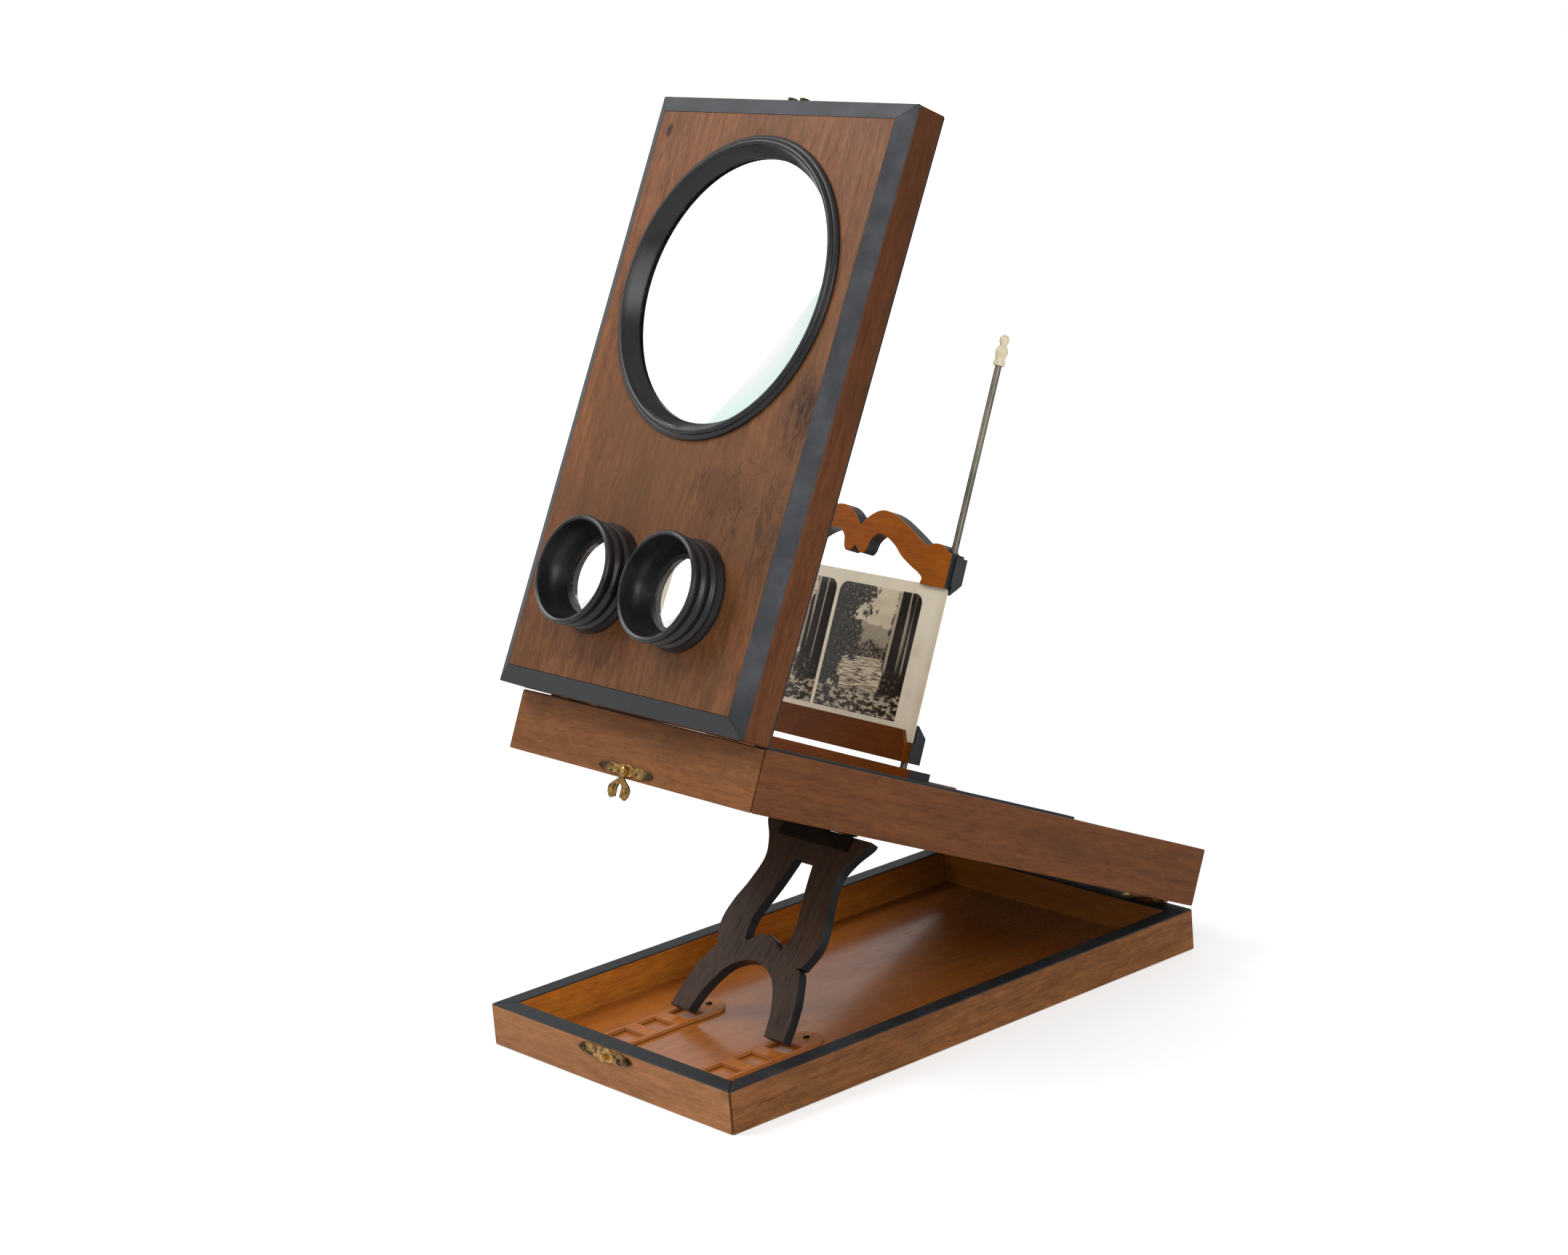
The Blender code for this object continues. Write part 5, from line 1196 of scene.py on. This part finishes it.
def landscape(name, middle, near_shift, trim, sizes):
    """A sepia stream between wooded banks. Its nearer things shift between the two prints."""
    finish = Finish(name, "holder")
    across = (finish.x - middle) / sizes.print_wide
    up = (finish.z - sizes.print_foot) / sizes.print_tall

    def below(level, swing, frequency, seed, shift, detail=4.0, soft=0.012):
        """1 below an uneven line across the print, such as a skyline."""
        combine = finish.add("ShaderNodeCombineXYZ")
        finish.feed(combine.inputs[0], across + (shift + seed))
        wave = finish.noise(frequency, detail, 0.6, vector=combine.outputs[0])
        return ((wave - 0.5) * swing + level - up).rise(-soft, soft)

    leaves = finish.noise(560.0, 5.0, 0.75, 0.3)
    fine = finish.noise(1500.0, 3.0, 0.7)
    clouds = finish.noise(55.0, 5.0, 0.6, 0.4, finish.stretched((1, 1, 2.6), (0.3, 0, 0.7)))
    hills = below(0.70, 0.30, 3.1, 1.3, near_shift * 0.1)
    tone = finish.lerp(hills, (clouds - 0.5) * 0.5 + 0.86, leaves * 0.35 + up * 0.20 + 0.15)
    thicket = below(0.56, 0.26, 7.0, 7.9, near_shift * 0.35, 8.0, 0.02)
    tone = finish.lerp(thicket, tone, leaves.rise(0.44, 0.66, 0.0, 0.55))
    ripple = finish.noise(150.0, 4.0, 0.65, 0.5, finish.stretched((1, 1, 9.0)))
    water = below(0.44, 0.03, 5.0, 2.2, near_shift * 0.5, soft=0.006)
    tone = finish.lerp(water, tone, ripple.rise(0.38, 0.58, 0.10, 1.0))
    # Dark wooded banks close in from both sides, the right one nearer
    bough = finish.noise(60.0, 6.0, 0.7, 0.4, finish.stretched((1, 1, 1), (0.11, 0.0, 0.37)))
    ragged = (bough - 0.5) * 1.1
    flicker = leaves.rise(0.50, 0.72, 0.0, 0.65)
    left_bank = across + ((0.5 - up) * 0.30 + ragged)
    tone = finish.lerp(left_bank.rise(near_shift - 0.20, near_shift - 0.24), tone, flicker)
    trunks = finish.noise(330.0, 2.0, 0.5, vector=finish.stretched((1, 1, 0.02), (0.6, 0, 0)))
    boles = trunks.rise(0.55, 0.60, 0.0, 0.55)
    grove = finish.lerp(up.rise(0.30, 0.42), flicker * 0.9, boles)
    tone = finish.lerp((across + ragged * 0.35).rise(0.20, 0.23), tone, grove)
    stones = finish.noise(210.0, 4.0, 0.6, vector=finish.stretched((1, 1, 2.2), (0.5, 0, 0)))
    moss = fine.rise(0.45, 0.75, 0.0, 0.30)
    ground = finish.lerp(stones.rise(0.49, 0.56), moss, fine * 0.9 + 0.25)
    tone = finish.lerp(below(0.17, 0.26, 4.0, 11.4, near_shift, 8.0, 0.02), tone, ground)
    fade = (abs(across) * 2.0) ** 4.0
    grain = finish.noise(2600.0, 2.0, 0.6)
    tone = finish.math("ADD", (grain - 0.5) * 0.12, tone - fade * 0.22, clamp=True)
    colour = finish.mix(tone, trim.print_dark, trim.print_light)
    return finish.done((colour, 0.30, grain), 0.00001, Coat_Weight=0.2, Coat_Roughness=0.25)


PRINT_THICK = 0.0002
PRINT_SOFTENED = 0.00003


class GRAPHOSCOPE_OT_card(Operator):
    """Soils the stereo card and mounts its two landscape prints"""

    bl_idname = "graphoscope.card"
    bl_label = "Stereo card"

    def execute(self, context):
        trim = context.scene.graphoscope_trim
        sizes = context.scene.graphoscope_sizes
        card = Finish("card", "holder")
        fibre = card.noise(1600.0, 4.0, 0.6)
        stain = card.noise(42.0, 5.0, 0.6).rise(0.48, 0.75)
        edge = abs(card.x - CARD_MIDDLE).rise(0.080, 0.090)
        colour = card.mix(edge * 0.45 + stain * 0.45, trim.card, trim.card_soil)
        colour = card.mix(fibre * 0.12, colour, trim.card_soil)
        dress(card.done((colour, 0.62, fibre), 0.00003), "stereo_card")
        half, tall, corner = sizes.print_wide / 2, sizes.print_tall, sizes.print_corner
        rounded = [
            (half - corner + corner * math.cos(a), tall - corner + corner * math.sin(a))
            for a in (math.pi / 2 * i / 10 for i in range(11))
        ]
        right = [(half, 0.0), *rounded]
        outline = right + [(-across, up) for across, up in reversed(right)]
        lay = body_matrix("holder") @ basis((1, 0, 0), (0, 0, 1), (0, CARD_FACE, 0))
        for side, sign in SIDES:
            middle = CARD_MIDDLE + sign * (half + sizes.divider / 2)
            placed = [(across + middle, up + sizes.print_foot) for across, up in outline]
            mesh = slab([placed], PRINT_THICK, lay, PRINT_SOFTENED)
            material = landscape(f"print {side}", middle, sign * 0.012, trim, sizes)
            new_piece(f"print_{side}", mesh, "lower_rail", material)
        return {"FINISHED"}


LAMP_AIM = Vector((0, 0, 0.2))
FLOOR_DROP = 0.0002


class GRAPHOSCOPE_OT_stage(Operator):
    """Lays the floor, lights the object softly and sets the photograph's camera"""

    bl_idname = "graphoscope.stage"
    bl_label = "Stage"

    def execute(self, context):
        scene = context.scene
        look = scene.graphoscope_stage
        half = look.floor_half
        mesh = bpy.data.meshes.new("studio floor")
        corners = [(-half, -half, 0), (half, -half, 0), (half, half, 0), (-half, half, 0)]
        mesh.from_pydata(corners, [], [(0, 1, 2, 3)])
        floor = linked("studio_floor", mesh)
        floor.location.z = -FLOOR_DROP
        mesh.materials.append(self.floor_finish(look))
        self.light_world(scene, look)
        self.lamp("key lamp", (-1.5, -1.1, 2.4), 1.6, look.key_power)
        self.lamp("fill lamp", (1.9, -0.9, 1.3), 1.4, look.fill_power)
        self.camera(scene)
        scene.view_settings.view_transform = "Standard"
        return {"FINISHED"}

    def floor_finish(self, look):
        """A matt floor that turns to plain white for the viewer past the shadow's reach."""
        material = bpy.data.materials.new("studio floor")
        material.use_nodes = True
        nodes = Nodes(material.node_tree)
        inputs = nodes.tree.nodes["Principled BSDF"].inputs
        nodes.feed(inputs["Base Color"], look.floor_tone)
        nodes.feed(inputs["Roughness"], 0.9)
        nodes.feed(inputs["Specular IOR Level"], 0.0)
        nodes.feed(inputs["Emission Color"], WHITE)
        far = nodes.add("ShaderNodeVectorMath", operation="LENGTH")
        nodes.feed(far.inputs[0], nodes.add("ShaderNodeNewGeometry").outputs["Position"])
        reach = look.shadow_reach
        lift = Value(nodes, far.outputs["Value"]).rise(reach, reach * 2, look.lift, 1.0, "LINEAR")
        nodes.feed(inputs["Emission Strength"], nodes.seen_rays() * lift)
        return material

    def light_world(self, scene, look):
        """Soft light from all round, with plain white behind the object."""
        scene.world = bpy.data.worlds.new("studio")
        scene.world.use_nodes = True
        nodes = Nodes(scene.world.node_tree)
        inputs = nodes.tree.nodes["Background"].inputs
        nodes.feed(inputs["Color"], WHITE)
        strength = nodes.seen_rays().rise(0.0, 1.0, look.ambient, 1.0, "LINEAR")
        nodes.feed(inputs["Strength"], strength)

    def lamp(self, name, place, across, power):
        data = bpy.data.lights.new(name, "AREA")
        data.shape = "SQUARE"
        data.size = across
        data.energy = power
        lamp = linked(name, data)
        lamp.location = place
        lamp.rotation_euler = (LAMP_AIM - Vector(place)).to_track_quat("-Z", "Y").to_euler()

    def camera(self, scene):
        data = bpy.data.cameras.new("camera")
        data.lens = CAMERA_LENS
        data.sensor_width = SENSOR_WIDTH
        data.sensor_fit = "HORIZONTAL"
        camera = linked("camera", data)
        turn = Matrix((CAMERA_RIGHT, CAMERA_UP, CAMERA_BACK)).transposed().to_4x4()
        camera.matrix_world = Matrix.Translation(CAMERA_PLACE) @ turn
        scene.camera = camera


STEPS = (
    GRAPHOSCOPE_OT_base,
    GRAPHOSCOPE_OT_floor,
    GRAPHOSCOPE_OT_tray,
    GRAPHOSCOPE_OT_strut,
    GRAPHOSCOPE_OT_panel_boards,
    GRAPHOSCOPE_OT_lens_ring,
    GRAPHOSCOPE_OT_eyepieces,
    GRAPHOSCOPE_OT_lenses,
    GRAPHOSCOPE_OT_hinges,
    GRAPHOSCOPE_OT_hook,
    GRAPHOSCOPE_OT_rods,
    GRAPHOSCOPE_OT_rails,
    GRAPHOSCOPE_OT_card,
    GRAPHOSCOPE_OT_stage,
)


class GRAPHOSCOPE_PT_panel(Panel):
    """Lists the steps that build the graphoscope's looks"""

    bl_idname = "GRAPHOSCOPE_PT_panel"
    bl_label = "Graphoscope"
    bl_space_type = "VIEW_3D"
    bl_region_type = "UI"
    bl_category = "Graphoscope"

    def draw(self, context):
        for step in STEPS:
            self.layout.operator(step.bl_idname)
        for name in GROUPS:
            box = self.layout.box()
            group = getattr(context.scene, name)
            for key in group.bl_rna.properties.keys():
                if key not in ("rna_type", "name"):
                    box.prop(group, key)


GROUPS = {
    "graphoscope_woods": GraphoscopeWoods,
    "graphoscope_trim": GraphoscopeTrim,
    "graphoscope_sizes": GraphoscopeSizes,
    "graphoscope_stage": GraphoscopeStage,
}


def register():
    for group in GROUPS.values():
        bpy.utils.register_class(group)
    for name, group in GROUPS.items():
        setattr(bpy.types.Scene, name, PointerProperty(type=group))
    for step in STEPS:
        bpy.utils.register_class(step)
    bpy.utils.register_class(GRAPHOSCOPE_PT_panel)


def unregister():
    bpy.utils.unregister_class(GRAPHOSCOPE_PT_panel)
    for step in reversed(STEPS):
        bpy.utils.unregister_class(step)
    for name, group in GROUPS.items():
        delattr(bpy.types.Scene, name)
        bpy.utils.unregister_class(group)


def main():
    register()
    for step in STEPS:
        area, name = step.bl_idname.split(".")
        getattr(getattr(bpy.ops, area), name)()


if __name__ == "__main__":
    main()
